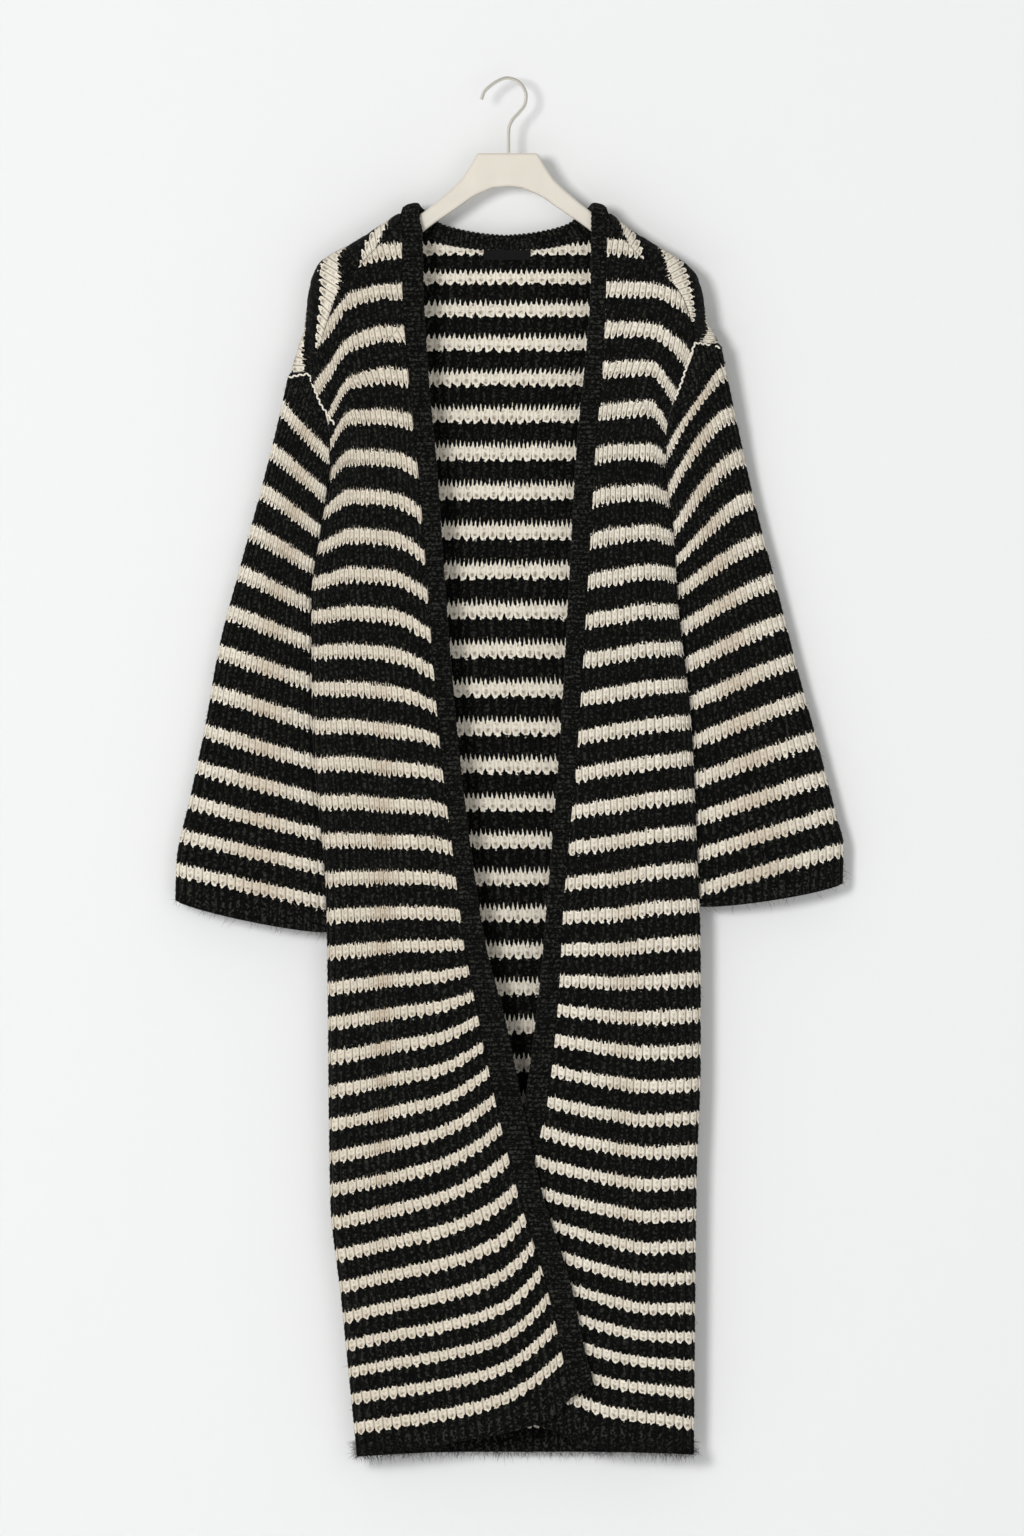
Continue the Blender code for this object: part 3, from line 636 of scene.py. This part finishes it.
def front_panel(name, edge, band, seam, hem, side, heading, table, finish):
    lifted = side < 0

    def spot(share, drop):
        outer = smooth_at(edge, drop)
        inner = smooth_at(band, drop) + side * SEAM
        return outer + share * (inner - outer)

    level = np.full(FINE, FITTING_DROP)
    line = front_point(spot(np.linspace(0, 1, FINE), level), level, lifted)
    run = run_along(line)
    columns = FRONT_RIBS * FRONT_STEPS + 1
    shares = np.interp(np.linspace(0, run[-1], columns), run, np.linspace(0, 1, FINE))
    seam_x = np.array([row[1] for row in seam]) - side * SEAM
    seam_drop = np.array([row[2] for row in seam]) + SEAM
    outer = smooth_at(edge, seam_drop)
    inner = smooth_at(band, seam_drop) + side * SEAM
    top = np.interp(shares, np.clip((seam_x - outer) / (inner - outer), 0, 1), seam_drop)
    bottom = smooth_at(hem, shares)
    drop = top + np.linspace(0, 1, FRONT_ROWS + 1)[:, None] * (bottom - top)
    x = spot(shares[None, :], drop)
    grid = front_point(x, drop, lifted)
    facing = body_normals(grid)
    facing[:, -1, 0] = 0
    ribs = ribs_across(grid, x, drop)
    beside = np.exp(-abs(x - x[:, -1:]) / DIP_REACH)
    dip = smooth_at(BAND_DIPS, drop) * beside * (1 if lifted else UNDER_DIP)
    stripes = stripe_number(heading, table, x, drop - dip)
    # Painted shade: the cream turns tan in the pinched folds, and a little over the whole lifted front.
    shade = np.clip(folds_at(PINCHES, x, drop, 4, DIM_NARROWER), LIFTED_DIM if lifted else 0, 1)
    stitches = stitch_values(ribs, stripes, LAST_BODY_STRIPE, shade=shade)
    return knit_shell(name, grid, unit(facing), stitches, (4, 3), finish, side)


def neck_spot(share):
    """A point of the back panel's neck edge, just off the band's sewn edge."""
    rows = np.array(LEFT_NECK if share <= 0.5 else RIGHT_NECK)
    at = np.interp(min(share, 1 - share), NECK_SHARES, np.arange(len(rows)))
    row = [np.interp(at, np.arange(len(rows)), rows[:, column]) for column in range(6)]
    sewn = np.array([row[0], row[2], -row[1]])
    free = np.array([row[3], row[5], -row[4]])
    return sewn + unit(sewn - free) * 2 * SEAM


def back_column(share):
    """Places and stripe numbers down one back column, from the forward seam or the neck to the hem."""
    on_left = share <= 0.5
    fold, seam = (LEFT_FOLD, LEFT_SEAM) if on_left else (RIGHT_FOLD, RIGHT_SEAM)
    reach = min(share, 1 - share)
    hem = smooth_at(BACK_HEM, share)
    wraps = reach <= NECK_SHARES[0]
    if wraps:
        fold_x, fold_at = smooth_at(fold, reach), smooth_at(fold, reach, 2)
        start_x, start_at = smooth_at(seam, reach), smooth_at(seam, reach, 2)
        run = np.sqrt(np.linspace(0, 1, WRAP_FINE))
        x = start_x + run * (fold_x - start_x)
        drop = start_at + run * (fold_at - start_at)
        lead = np.stack([x, -half_depth(x, drop), -drop], axis=-1)[:-1]
    else:
        start = neck_spot(share)
        fold_x, fold_at = start[0], -start[2]
        lead = start[None, :]
    top = fold_at + (0 if wraps else NECK_START)
    drop = top + np.linspace(0, 1, BACK_FINE) ** BACK_CROWDING * (hem - top)
    left = smooth_at(LEFT_EDGE, drop)
    right = smooth_at(RIGHT_EDGE, drop)
    low_x = left + share * (right - left)
    return_by = fold_at + BACK_RETURN + (UNDERARM - BACK_RETURN - fold_at) * min(reach / RETURN_SHARE, 1)
    x = fold_x + (low_x - fold_x) * ease(fold_at, max(return_by, fold_at + BACK_RETURN), drop)
    back = back_point(x, drop)
    if wraps:
        back[0, 1] = 0.0
    line = np.concatenate([lead, back])
    run = run_along(line)
    level = smooth_at(BACK_STRIPES, -line[:, 2])
    if wraps:
        at_fold, at_seam = smooth_at(WRAP_STRIPES, reach), smooth_at(WRAP_STRIPES, reach, 2)
        wrap = run[len(lead)]
        blended = level + (at_fold - level[len(lead)]) * (1 - ease(0, WRAP_BLEND, run - wrap))
        wrapped = at_seam + (at_fold - at_seam) * np.clip(run / wrap, 0, 1)
        level = np.where(run < wrap, wrapped, blended)
    places = np.linspace(0, run[-1], BACK_ROWS + 1)
    return resample(line, places), np.interp(places, run, level)


def back_panel(finish, inner_finish):
    shares = np.linspace(0, 1, BACK_RIBS * BACK_STEPS + 1)
    columns = [back_column(share) for share in shares]
    grid = np.stack([column[0] for column in columns], axis=1)
    stripes = np.stack([column[1] for column in columns], axis=1)
    ribs = shares * BACK_RIBS * np.where(grid[..., 1] < 0, WRAP_DENSER, 1)
    facing = body_normals(grid)
    stitches = stitch_values(ribs, stripes, LAST_BODY_STRIPE)
    inner_relief = stitch_relief(ribs, stitches[..., 1])
    wrapped = FRONT_RELIEF + (1 - FRONT_RELIEF) * ease(*WRAP_TURN, grid[..., 1])
    outside = grid + facing * (inner_relief * wrapped)[..., None]
    inner_relief[:, [0, -1]] = 0
    inner_relief[:PLAIN_TOP_ROWS] = 0
    inside = grid - facing * (WALL + inner_relief[..., None] * INNER_RELIEF)
    item = shell("knit_back", outside, inside, stitches, stitches, finish)
    item.data.materials.append(inner_finish)
    slots = np.zeros(len(item.data.polygons), np.int32)
    quads = (grid.shape[0] - 1) * (grid.shape[1] - 1)
    slots[quads:2 * quads] = 1
    item.data.polygons.foreach_set("material_index", slots)
    return item


def sleeve_head(edge, fold, seam):
    """The armhole as a ring: the shoulder fold, the front edge, the underarm, the back edge."""
    top_x, top_drop = fold[0][1], fold[0][2]
    corner_x, corner_drop = seam[0][1], seam[0][2]
    run = np.linspace(0, 1, HEAD_FINE[0])
    x = top_x + run * (corner_x - top_x)
    drop = top_drop + run * (corner_drop - top_drop)
    down = np.linspace(corner_drop, UNDERARM, HEAD_FINE[1])[1:]
    x = np.concatenate([x, smooth_at(edge, down)])
    drop = np.concatenate([drop, down])
    front = np.stack([x, -half_depth(x, drop), -drop], axis=-1)
    front[0, 1] = 0
    back_drop = np.linspace(top_drop, UNDERARM, HEAD_FINE[1])
    x = top_x + (smooth_at(edge, back_drop) - top_x) * ease(top_drop, top_drop + BACK_RETURN, back_drop)
    back = np.stack([x, half_depth(x, back_drop), -back_drop], axis=-1)
    back[0, 1] = 0
    back[-1, 1] = 0
    return front, back[::-1]


def ring(front, back, count):
    half = count // 2
    first = resample(front, np.linspace(0, run_along(front)[-1], half + 1))
    second = resample(back, np.linspace(0, run_along(back)[-1], half + 1))
    return np.concatenate([first[:-1], second[:-1]])


def sleeve_ring(t, edge, outline, side, cuff_drop, count):
    """One flattened ring of a bell sleeve, at a share of its length."""
    top = outline[0][0]
    outer_drop = top + t * (outline[-1][0] - top)
    inner_top = UNDERARM + UNDERARM_GAP
    inner_drop = inner_top + t * (cuff_drop - inner_top)
    outer_x = smooth_at(outline, outer_drop)
    inner_x = smooth_at(edge, inner_drop) + side * (SLEEVE_GAP - TUCK * ease(*TUCK_SHARES, t))
    angle = np.linspace(0, np.pi, RING_FINE)
    across = (1 - np.cos(angle)) / 2
    x = outer_x + across * (inner_x - outer_x)
    drop = outer_drop + across * (inner_drop - outer_drop) + CUFF_BOW * t * np.sin(angle)
    deep = (SLEEVE_DEEP + BELL_DEEPER * t) * np.sin(angle) ** SLEEVE_ROUND
    middle = SET_BACK * ease(0, SET_BACK_SHARE, t) * np.ones(len(angle))
    front = np.stack([x, middle - deep, -drop], axis=-1)
    back = np.stack([x, middle + deep * SLEEVE_BACK, -drop], axis=-1)[::-1]
    return ring(front, back, count)


def sleeve(name, edge, outline, fold, seam, side, cuff_drop, marks, finish):
    """A bell sleeve from the armhole to the cuff, with stripes that fall toward the body."""
    count = SLEEVE_RIBS * SLEEVE_STEPS
    front, back = sleeve_head(edge, fold, seam)
    head = ring(front, back, count) + np.array([side * SLEEVE_GAP, 0, -HEAD_LOWER * SLEEVE_GAP])
    rows = []
    for t in np.linspace(0, 1, SLEEVE_ROWS + 1):
        settled = sleeve_ring(max(t, FIRST_RING), edge, outline, side, cuff_drop, count)
        share = min(t / FIRST_RING, 1)
        rows.append(head + share * (settled - head))
    grid = np.stack(rows)
    facing = normals(grid, True) * side
    facing[0] = body_normals(head)
    drop = -grid[..., 2]
    outer = smooth_at(outline, drop)
    inner = smooth_at(edge, np.maximum(drop, fold[0][2]))
    inner = np.where(abs(inner - outer) < NARROWEST, outer - side * NARROWEST, inner)
    across = np.clip((grid[..., 0] - outer) / (inner - outer), 0, 1)
    level = drop - across * FIRST_SLOPE
    column = 1 if side < 0 else 2
    for _ in range(3):
        inward = across ** smooth_at(SLEEVE_BOWS, level, column)
        level = drop - inward * smooth_at(SLEEVE_SLOPES, level, column)
    stripes = smooth_at(marks, level)
    ribs = np.broadcast_to(np.arange(count) / SLEEVE_STEPS, stripes.shape)
    # Painted shade: the middle of each sleeve's width turns toward tan.
    painted_dim = SLEEVE_DIM * np.exp(-(((across - DIM_MIDDLE) / DIM_HALF) ** 2))
    stitches = stitch_values(ribs, stripes, LAST_SLEEVE_STRIPE, FIRST_SLEEVE_STRIPE, painted_dim)
    return knit_shell(name, grid, unit(facing), stitches, (4, 4), finish, side, closed=True)


def band_rows(front, neck, lifted, bottom):
    """Dense places of half the band: sewn edge and free edge, from the hem to the back neck."""
    drop = np.linspace(bottom, BAND_TURN, BAND_FINE)
    sewn = front_point(smooth_at(front, drop), drop, lifted)
    slanted = drop - BAND_SLANT * ease(SLANT_FROM, bottom, drop)
    free = front_point(smooth_at(front, drop, 2), slanted, lifted)
    free[:, 1] = sewn[:, 1]
    steps = np.linspace(0, len(neck) - 1, NECK_FINE)
    numbered = [(index, *row) for index, row in enumerate(neck)]
    x, level, depth, free_x, free_level, free_depth = [smooth_at(numbered, steps, at) for at in range(1, 7)]
    sewn = np.concatenate([sewn, np.stack([x, depth, -level], axis=-1)])
    free = np.concatenate([free, np.stack([free_x, free_depth, -free_level], axis=-1)])
    return np.concatenate([sewn, free], axis=1)


def front_band(bottoms, finish):
    """The ribbed band up one front, round the neck and down the other, folded over at its free edge."""
    left = band_rows(LEFT_BAND, LEFT_NECK, True, bottoms[0])
    right = band_rows(RIGHT_BAND, RIGHT_NECK, False, bottoms[1])
    both = np.concatenate([left, right[::-1][1:]])
    run = run_along((both[:, :3] + both[:, 3:]) / 2)
    ridges = int(run[-1] / BAND_PITCH)
    places = np.linspace(0, run[-1], ridges * BAND_STEPS + 1)
    both = np.stack([np.interp(places, run, both[:, at]) for at in range(6)], axis=-1)
    sewn, free = both[:, :3], both[:, 3:]
    facing = normals(np.stack([sewn, (sewn + free) / 2, free], axis=1), False)[:, 1]
    angle = np.linspace(0, 2 * np.pi, BAND_ROUND, endpoint=False)
    wide = np.sign(np.cos(angle)) * abs(np.cos(angle)) ** BAND_SQUARE
    deep = np.sign(np.sin(angle)) * abs(np.sin(angle)) ** BAND_SQUARE
    wave = abs(np.sin(np.pi * np.arange(len(places)) / BAND_STEPS)) ** RIDGE_POWER
    ridge = BAND_RIDGE * wave
    middle = (sewn + free) / 2 - facing * BAND_HALF
    at_neck = (middle[:, 2] > -NECK_LOW) * np.exp(-((middle[:, 0] / NECK_HALF) ** 2))
    cover = BAND_COVER + BAND_BUMP * wave + at_neck * (NECK_COVER + NECK_BUMP * wave)
    half = (free - sewn) / 2 * cover[:, None]
    thick = (BAND_HALF + ridge[:, None] * abs(deep)[None, :] ** 0.5) * deep
    grid = middle[:, None] + half[:, None] * wide[None, :, None] + facing[:, None] * thick[..., None]
    points = grid.reshape(-1, 3)
    faces, ends = tube_faces(len(places), BAND_ROUND)
    item = mesh_of("knit_front_band", points, [faces], ends, finish)
    length = np.broadcast_to((np.arange(len(places)) / BAND_STEPS)[:, None], thick.shape)
    around = np.broadcast_to(wide[None, :] * 3, thick.shape)
    add_stitches(item, np.stack([length, around, np.ones(thick.shape)], axis=-1))
    return item


def fuzz(name, spots, ways, lengths, finish, seed):
    """Loose fibres: bent three-sided hairs that stand on given places along given directions."""
    random = np.random.default_rng(seed)
    count = len(spots)
    ways = unit(ways + random.normal(0, HAIR_SPREAD, (count, 3)))
    bend = unit(random.normal(0, 1, (count, 3)) + np.array([0, 0, -HAIR_SAG]))
    side = unit(np.cross(ways, bend))
    other = np.cross(ways, side)
    middle = spots + ways * lengths[:, None] * 0.5
    tip = middle + unit(ways + bend * HAIR_BEND) * lengths[:, None] * 0.5
    for place, deep in ((middle, HAIR_DEPTH / 2), (tip, HAIR_DEPTH)):
        place[:, 1] = np.clip(place[:, 1], spots[:, 1] - deep, spots[:, 1] + deep)
    points = np.zeros((count, HAIR_POINTS, 3))
    for corner in range(3):
        angle = corner * 2 * np.pi / 3
        out = side * np.cos(angle) + other * np.sin(angle)
        points[:, corner] = spots + out * FIBRE
        points[:, 3 + corner] = middle + out * FIBRE * HAIR_TAPER
    points[:, 6] = tip
    base = np.arange(count)[:, None] * HAIR_POINTS
    quads = [[a, (a + 1) % 3, 3 + (a + 1) % 3, 3 + a] for a in range(3)]
    thirds = [[0, 2, 1]] + [[3 + a, 3 + (a + 1) % 3, 6] for a in range(3)]
    blocks = [(base[:, None] + np.array(part)[None]).reshape(-1, len(part[0])) for part in (quads, thirds)]
    return mesh_of(name, points.reshape(-1, 3), blocks, [], finish, turned=True)


def stitched_points(item):
    """Places, ways out and stitches of a knitted piece's points."""
    found = []
    layer = item.data.attributes["stitch"].data
    for source, value in ((item.data.vertices, "co"), (item.data.vertices, "normal"), (layer, "vector")):
        values = np.zeros(len(source) * 3)
        source.foreach_get(value, values)
        found.append(values.reshape(-1, 3))
    spots, ways, stitches = found
    return spots / MM, ways, stitches


def loose_fibres(cloth, finish):
    """Short fuzz all over the knit, and longer hairs at the hem and the cuffs."""
    random = np.random.default_rng(SEED)
    gathered = []
    for node, item in cloth.items():
        at, out, stitch = stitched_points(item)
        picked = random.integers(0, len(at), FUZZ[node])
        edge = at[:, 2].min() + EDGE_HIGH.get(node, 0)
        low = np.flatnonzero(at[:, 2] < edge)
        if len(low):
            picked = np.concatenate([picked, random.choice(low, FUZZ[node] // EDGE_PART)])
        long = HAIR_SHORT + HAIR_MORE * random.random(len(picked)) ** 2
        long = np.where(at[picked, 2] < edge, long * EDGE_LONGER, long)
        gathered.append((at[picked], out[picked], stitch[picked], long))
    spots, ways, stitches, lengths = (np.concatenate(part) for part in zip(*gathered))
    item = fuzz("knit_fuzz", spots, ways, lengths, finish, SEED)
    add_stitches(item, np.repeat(stitches, HAIR_POINTS, axis=0))
    return item


def linking_line(name, line, finish):
    """The cream linking stitches that show along an armhole: a row of short slanting beads."""
    x, drop = np.array(line, float).T
    keys = np.stack([x, -half_depth(x, drop) - LINK_LIFT, -drop], axis=-1)
    run = run_along(keys)
    centres = resample(keys, np.arange(0, run[-1], LINK_PITCH))
    ways = unit(np.gradient(centres, axis=0))
    side = unit(np.cross(ways, np.array([0, 1.0, 0])))
    turns = np.linspace(0, 2 * np.pi, LINK_ROUND, endpoint=False)
    lifts = np.linspace(LINK_CLOSE, np.pi - LINK_CLOSE, LINK_RINGS)
    lift, turn = np.meshgrid(lifts, turns, indexing="ij")
    lift, turn = lift[..., None], turn[..., None]
    points, blocks, caps = [], [], []
    for number, (centre, way, out) in enumerate(zip(centres, ways, side)):
        lean = unit(way + out * LINK_LEANS[number % 2])
        other = unit(np.cross(lean, np.array([0, 1.0, 0])))
        flat = other * np.cos(turn) + np.cross(lean, other) * np.sin(turn)
        faces, ends = tube_faces(LINK_RINGS, LINK_ROUND, number * LINK_RINGS * LINK_ROUND)
        points.append(centre + lean * np.cos(lift) * LINK_LONG + flat * np.sin(lift) * LINK_THICK)
        blocks.append(faces)
        caps += ends
    return mesh_of(name, np.reshape(points, (-1, 3)), blocks, caps, finish)


def node_chain(finish):
    """Short names for adding maths nodes to a material."""
    tree = finish.node_tree

    def maths(kind, first, second=None, third=None):
        node = tree.nodes.new("ShaderNodeMath")
        node.operation = kind
        for socket, value in zip(node.inputs, (first, second, third)):
            if value is None:
                continue
            if isinstance(value, (int, float)):
                socket.default_value = value
            else:
                tree.links.new(value, socket)
        return node.outputs[0]

    return tree, maths


def blank(name, colour, roughness, metallic=0.0):
    finish = bpy.data.materials.new(name)
    finish.use_nodes = True
    shader = finish.node_tree.nodes["Principled BSDF"]
    shader.inputs["Base Color"].default_value = (*colour, 1)
    shader.inputs["Roughness"].default_value = roughness
    shader.inputs["Metallic"].default_value = metallic
    return finish, shader


def mix(tree, share, first, second):
    node = tree.nodes.new("ShaderNodeMix")
    node.data_type = "RGBA"
    for socket, value in ((node.inputs[0], share), (node.inputs[6], first), (node.inputs[7], second)):
        if isinstance(value, tuple):
            socket.default_value = (*value, 1)
        else:
            tree.links.new(value, socket)
    return node.outputs[2]


def noise(tree, where, scale, detail=2.0):
    node = tree.nodes.new("ShaderNodeTexNoise")
    node.inputs["Scale"].default_value = scale
    node.inputs["Detail"].default_value = detail
    tree.links.new(where, node.inputs["Vector"])
    return node.outputs[0]


def add_bump(tree, shader, height, strength, distance):
    bump = tree.nodes.new("ShaderNodeBump")
    bump.inputs["Strength"].default_value = strength
    bump.inputs["Distance"].default_value = distance
    tree.links.new(height, bump.inputs["Height"])
    tree.links.new(bump.outputs[0], shader.inputs["Normal"])


def knit(name, spike, loop, chevron, gap_shade):
    """Striped knit coloured row by row: spiked tops, looped lower edges, open stitches, with painted shade in
    the holes, between ribs and in folds, and painted light on the black's rib crests.
    """
    finish, shader = blank(name, CREAM, WOOL_ROUGH)
    tree, maths = node_chain(finish)
    kinds = ("MULTIPLY", "SUBTRACT", "MULTIPLY_ADD", "POWER")
    times, minus, scaled, power = (partial(maths, kind) for kind in kinds)
    source = tree.nodes.new("ShaderNodeAttribute")
    source.attribute_name = "stitch"
    parts = tree.nodes.new("ShaderNodeSeparateXYZ")
    tree.links.new(source.outputs["Vector"], parts.inputs[0])
    # plain is 1 on the black parts, and up to SHADE_MOST where painted shade turns the cream tan.
    rib, row, plain = parts.outputs
    place = tree.nodes.new("ShaderNodeTexCoord").outputs["Object"]
    aside = minus(times(maths("FRACT", rib), 2), 1)
    across = maths("ABSOLUTE", aside)
    half_rib = maths("FRACT", times(rib, 2))
    points = maths("ABSOLUTE", minus(times(half_rib, 2), 1))
    wander = times(minus(noise(tree, place, WANDER_FINE), 0.5), WANDER)
    leg = maths("ADD", scaled(across, chevron, row), wander)
    centred = minus(leg, chevron / 2 - STRIPE_ROWS / 2)
    turn = minus(maths("FLOORED_MODULO", centred, STRIPE_ROWS), STRIPE_ROWS / 2)
    top = scaled(power(points, 2.0), -spike, spike * 0.35 - CREAM_ROWS / 2)
    low = scaled(power(across, 3), -loop, loop * 0.6 + CREAM_ROWS / 2)
    light = times(maths("GREATER_THAN", turn, top), maths("LESS_THAN", turn, low))
    light = times(light, maths("LESS_THAN", plain, 0.5))

    def round_spot(at, high):
        up = power(maths("DIVIDE", minus(turn, at), high), 2)
        out = power(maths("DIVIDE", aside, HOLE_WIDE), 2)
        return maths("EXPONENT", times(maths("ADD", up, out), -1.0))

    # Painted shade: the stitch holes and the lines between ribs are darkened, as recesses would be in shade.
    hole = scaled(round_spot(*UPPER_HOLE), UPPER_HOLE_SHARE, round_spot(*LOWER_HOLE))
    between = times(power(across, 5.0), gap_shade)
    speck = noise(tree, place, SPECK_FINE, 3.0)
    open_knit = maths("MINIMUM", maths("ADD", times(hole, OPEN_DARK), between), 1.0)
    height = scaled(speck, SPECK_HIGH, minus(1.0, open_knit))
    # shade is 1 where the cream is fully lit and lower in the painted shade of holes and rib gaps, with
    # random blotches and specks on top.
    shade = minus(1.0, times(open_knit, OPEN_DARK))
    shade = times(shade, scaled(noise(tree, place, BLOTCH_FINE), *BLOTCH))
    shade = minus(shade, times(maths("GREATER_THAN", speck, SPECK_FROM), SPECK_DARK))
    shade = maths("MAXIMUM", maths("MINIMUM", shade, 1.0), 0.0)
    painted_shade_colour = tuple(value * level for value, level in zip(CREAM, WARM_SHADE))
    # Painted shade: the cream turns toward TAN in folds, over the lifted front and in the middles of the
    # sleeves.
    cream_or_painted_tan = mix(tree, maths("MINIMUM", maths("DIVIDE", plain, SHADE_MOST), 1.0), CREAM, TAN)
    cream_now = mix(tree, shade, painted_shade_colour, cream_or_painted_tan)
    fleck = scaled(noise(tree, place, TUFT_FINE, 3.0), *TUFT)
    # Random lighter fibre flecks in the black, kept to the rib crests and out of the grooves and holes:
    # painted light on the crests over real flecks.
    ridge = times(shade, minus(1.0, power(across, 1.5)))
    flecks_and_crest_light = times(ridge, maths("MAXIMUM", maths("MINIMUM", fleck, 1.0), 0.0))
    flecks_and_crest_light = times(flecks_and_crest_light, maths("ADD", plain, 1.0))
    smooth, tufted = (tuple(value * level for value in BLACK) for level in (BLACK_LOW, BLACK_TUFT))
    black_now = mix(tree, flecks_and_crest_light, smooth, tufted)
    tree.links.new(mix(tree, light, black_now, cream_now), shader.inputs["Base Color"])
    for socket, value in WOOL.items():
        shader.inputs[socket].default_value = value
    add_bump(tree, shader, height, *KNIT_BUMP)
    return finish


def grained(name, colour, roughness, scale, strength, metallic=0.0, shine=0.5):
    """A plain finish with a soft procedural grain."""
    finish, shader = blank(name, colour, roughness, metallic)
    shader.inputs["Specular IOR Level"].default_value = shine
    tree = finish.node_tree
    place = tree.nodes.new("ShaderNodeTexCoord").outputs["Object"]
    grain = noise(tree, place, scale)
    dark = tuple(value * GRAIN_DARK for value in colour)
    tree.links.new(mix(tree, grain, dark, colour), shader.inputs["Base Color"])
    add_bump(tree, shader, grain, strength, GRAIN_DEEP)
    return finish


def area_light(name, size, energy, place, aim):
    lamp = bpy.data.lights.new(name, "AREA")
    lamp.shape = "DISK"
    lamp.size = size
    lamp.energy = energy
    item = bpy.data.objects.new(name, lamp)
    item.location = place
    way = np.array(aim) - np.array(place)
    item.rotation_euler = Vector(way).to_track_quat("-Z", "Y").to_euler()
    bpy.context.scene.collection.objects.link(item)
    return item


def backdrop():
    """A pale wall close behind the garment that curves out into the floor."""
    profile = [(WALL_Y, WALL_TOP), (WALL_Y, WALL_FOOT)]
    for angle in np.linspace(0.1, np.pi / 2, 12):
        profile.append((WALL_Y - CURVE + CURVE * np.cos(angle), WALL_FOOT - CURVE * np.sin(angle)))
    profile.append((FLOOR_FRONT, WALL_FOOT - CURVE))
    points = [(x / MM, y / MM, z / MM) for x in (-WALL_HALF, WALL_HALF) for y, z in profile]
    count = len(profile)
    faces = np.array([(at, at + 1, count + at + 1, count + at) for at in range(count - 1)])
    finish, _ = blank("backdrop", WALL_COLOUR, 0.9)
    return mesh_of("backdrop", np.array(points), [faces], [], finish, turned=True)


def dress(cloth):
    """Each cloth piece rides the body and stands for its solid, which is hidden."""
    for node, item in cloth.items():
        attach(item, "root")
        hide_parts(node)


def repaint(node, finish):
    """Gives a solid that shows as it is a finish of its own."""
    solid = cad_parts[node]
    solid.data.materials.clear()
    solid.data.materials.append(finish)
    for polygon in solid.data.polygons:
        polygon.use_smooth = node == "hanger_hook"


def set_stage():
    """Backdrop, soft light from the left, and a straight camera far in front."""
    wall = backdrop()
    key, fill = (area_light(*light) for light in LIGHTS)
    scene = bpy.context.scene
    world = bpy.data.worlds.new("room")
    world.use_nodes = True
    backlight = world.node_tree.nodes["Background"]
    backlight.inputs["Color"].default_value = (1.0, 1.0, 1.0, 1)
    backlight.inputs["Strength"].default_value = ROOM_LIGHT
    scene.world = world
    lens = bpy.data.cameras.new("camera")
    lens.sensor_width = FILM
    lens.lens = FILM * CAMERA_AWAY / FRAME_HIGH
    camera = bpy.data.objects.new("camera", lens)
    camera.location = (CENTRE_X, FRONT_Y - CAMERA_AWAY, CENTRE_Z)
    camera.rotation_euler = (np.pi / 2, 0, 0)
    scene.collection.objects.link(camera)
    scene.camera = camera
    scene.view_settings.view_transform = "Standard"


striped = knit("striped_knit", *STRIPED_LOOK)
inside_out = knit("inside_knit", *INSIDE_LOOK)
cloth = {
    "right_front": front_panel("knit_right_front", LEFT_EDGE, LEFT_BAND, LEFT_SEAM, LEFT_HEM, -1,
                               LEFT_STRIPE_X, LEFT_STRIPES, striped),
    "left_front": front_panel("knit_left_front", RIGHT_EDGE, RIGHT_BAND, RIGHT_SEAM, RIGHT_HEM, 1,
                              RIGHT_STRIPE_X, RIGHT_STRIPES, striped),
    "back": back_panel(striped, inside_out),
    "right_sleeve": sleeve("knit_right_sleeve", LEFT_EDGE, LEFT_SLEEVE, LEFT_FOLD, LEFT_SEAM, -1, LEFT_CUFF,
                           LEFT_SLEEVE_STRIPES, striped),
    "left_sleeve": sleeve("knit_left_sleeve", RIGHT_EDGE, RIGHT_SLEEVE, RIGHT_FOLD, RIGHT_SEAM, 1, RIGHT_CUFF,
                          RIGHT_SLEEVE_STRIPES, striped),
    "front_band": front_band((LEFT_HEM[-1][1], RIGHT_HEM[-1][1]), striped),
}
dress(cloth)
cream_yarn = grained(*LINK_LOOK)
trims = [
    loose_fibres(cloth, striped),
    linking_line("linking_right", LEFT_LINKS, cream_yarn),
    linking_line("linking_left", RIGHT_LINKS, cream_yarn),
]
for trim in trims:
    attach(trim, "root")
for node, look in PLAIN_LOOKS.items():
    repaint(node, grained(*look))
set_stage()
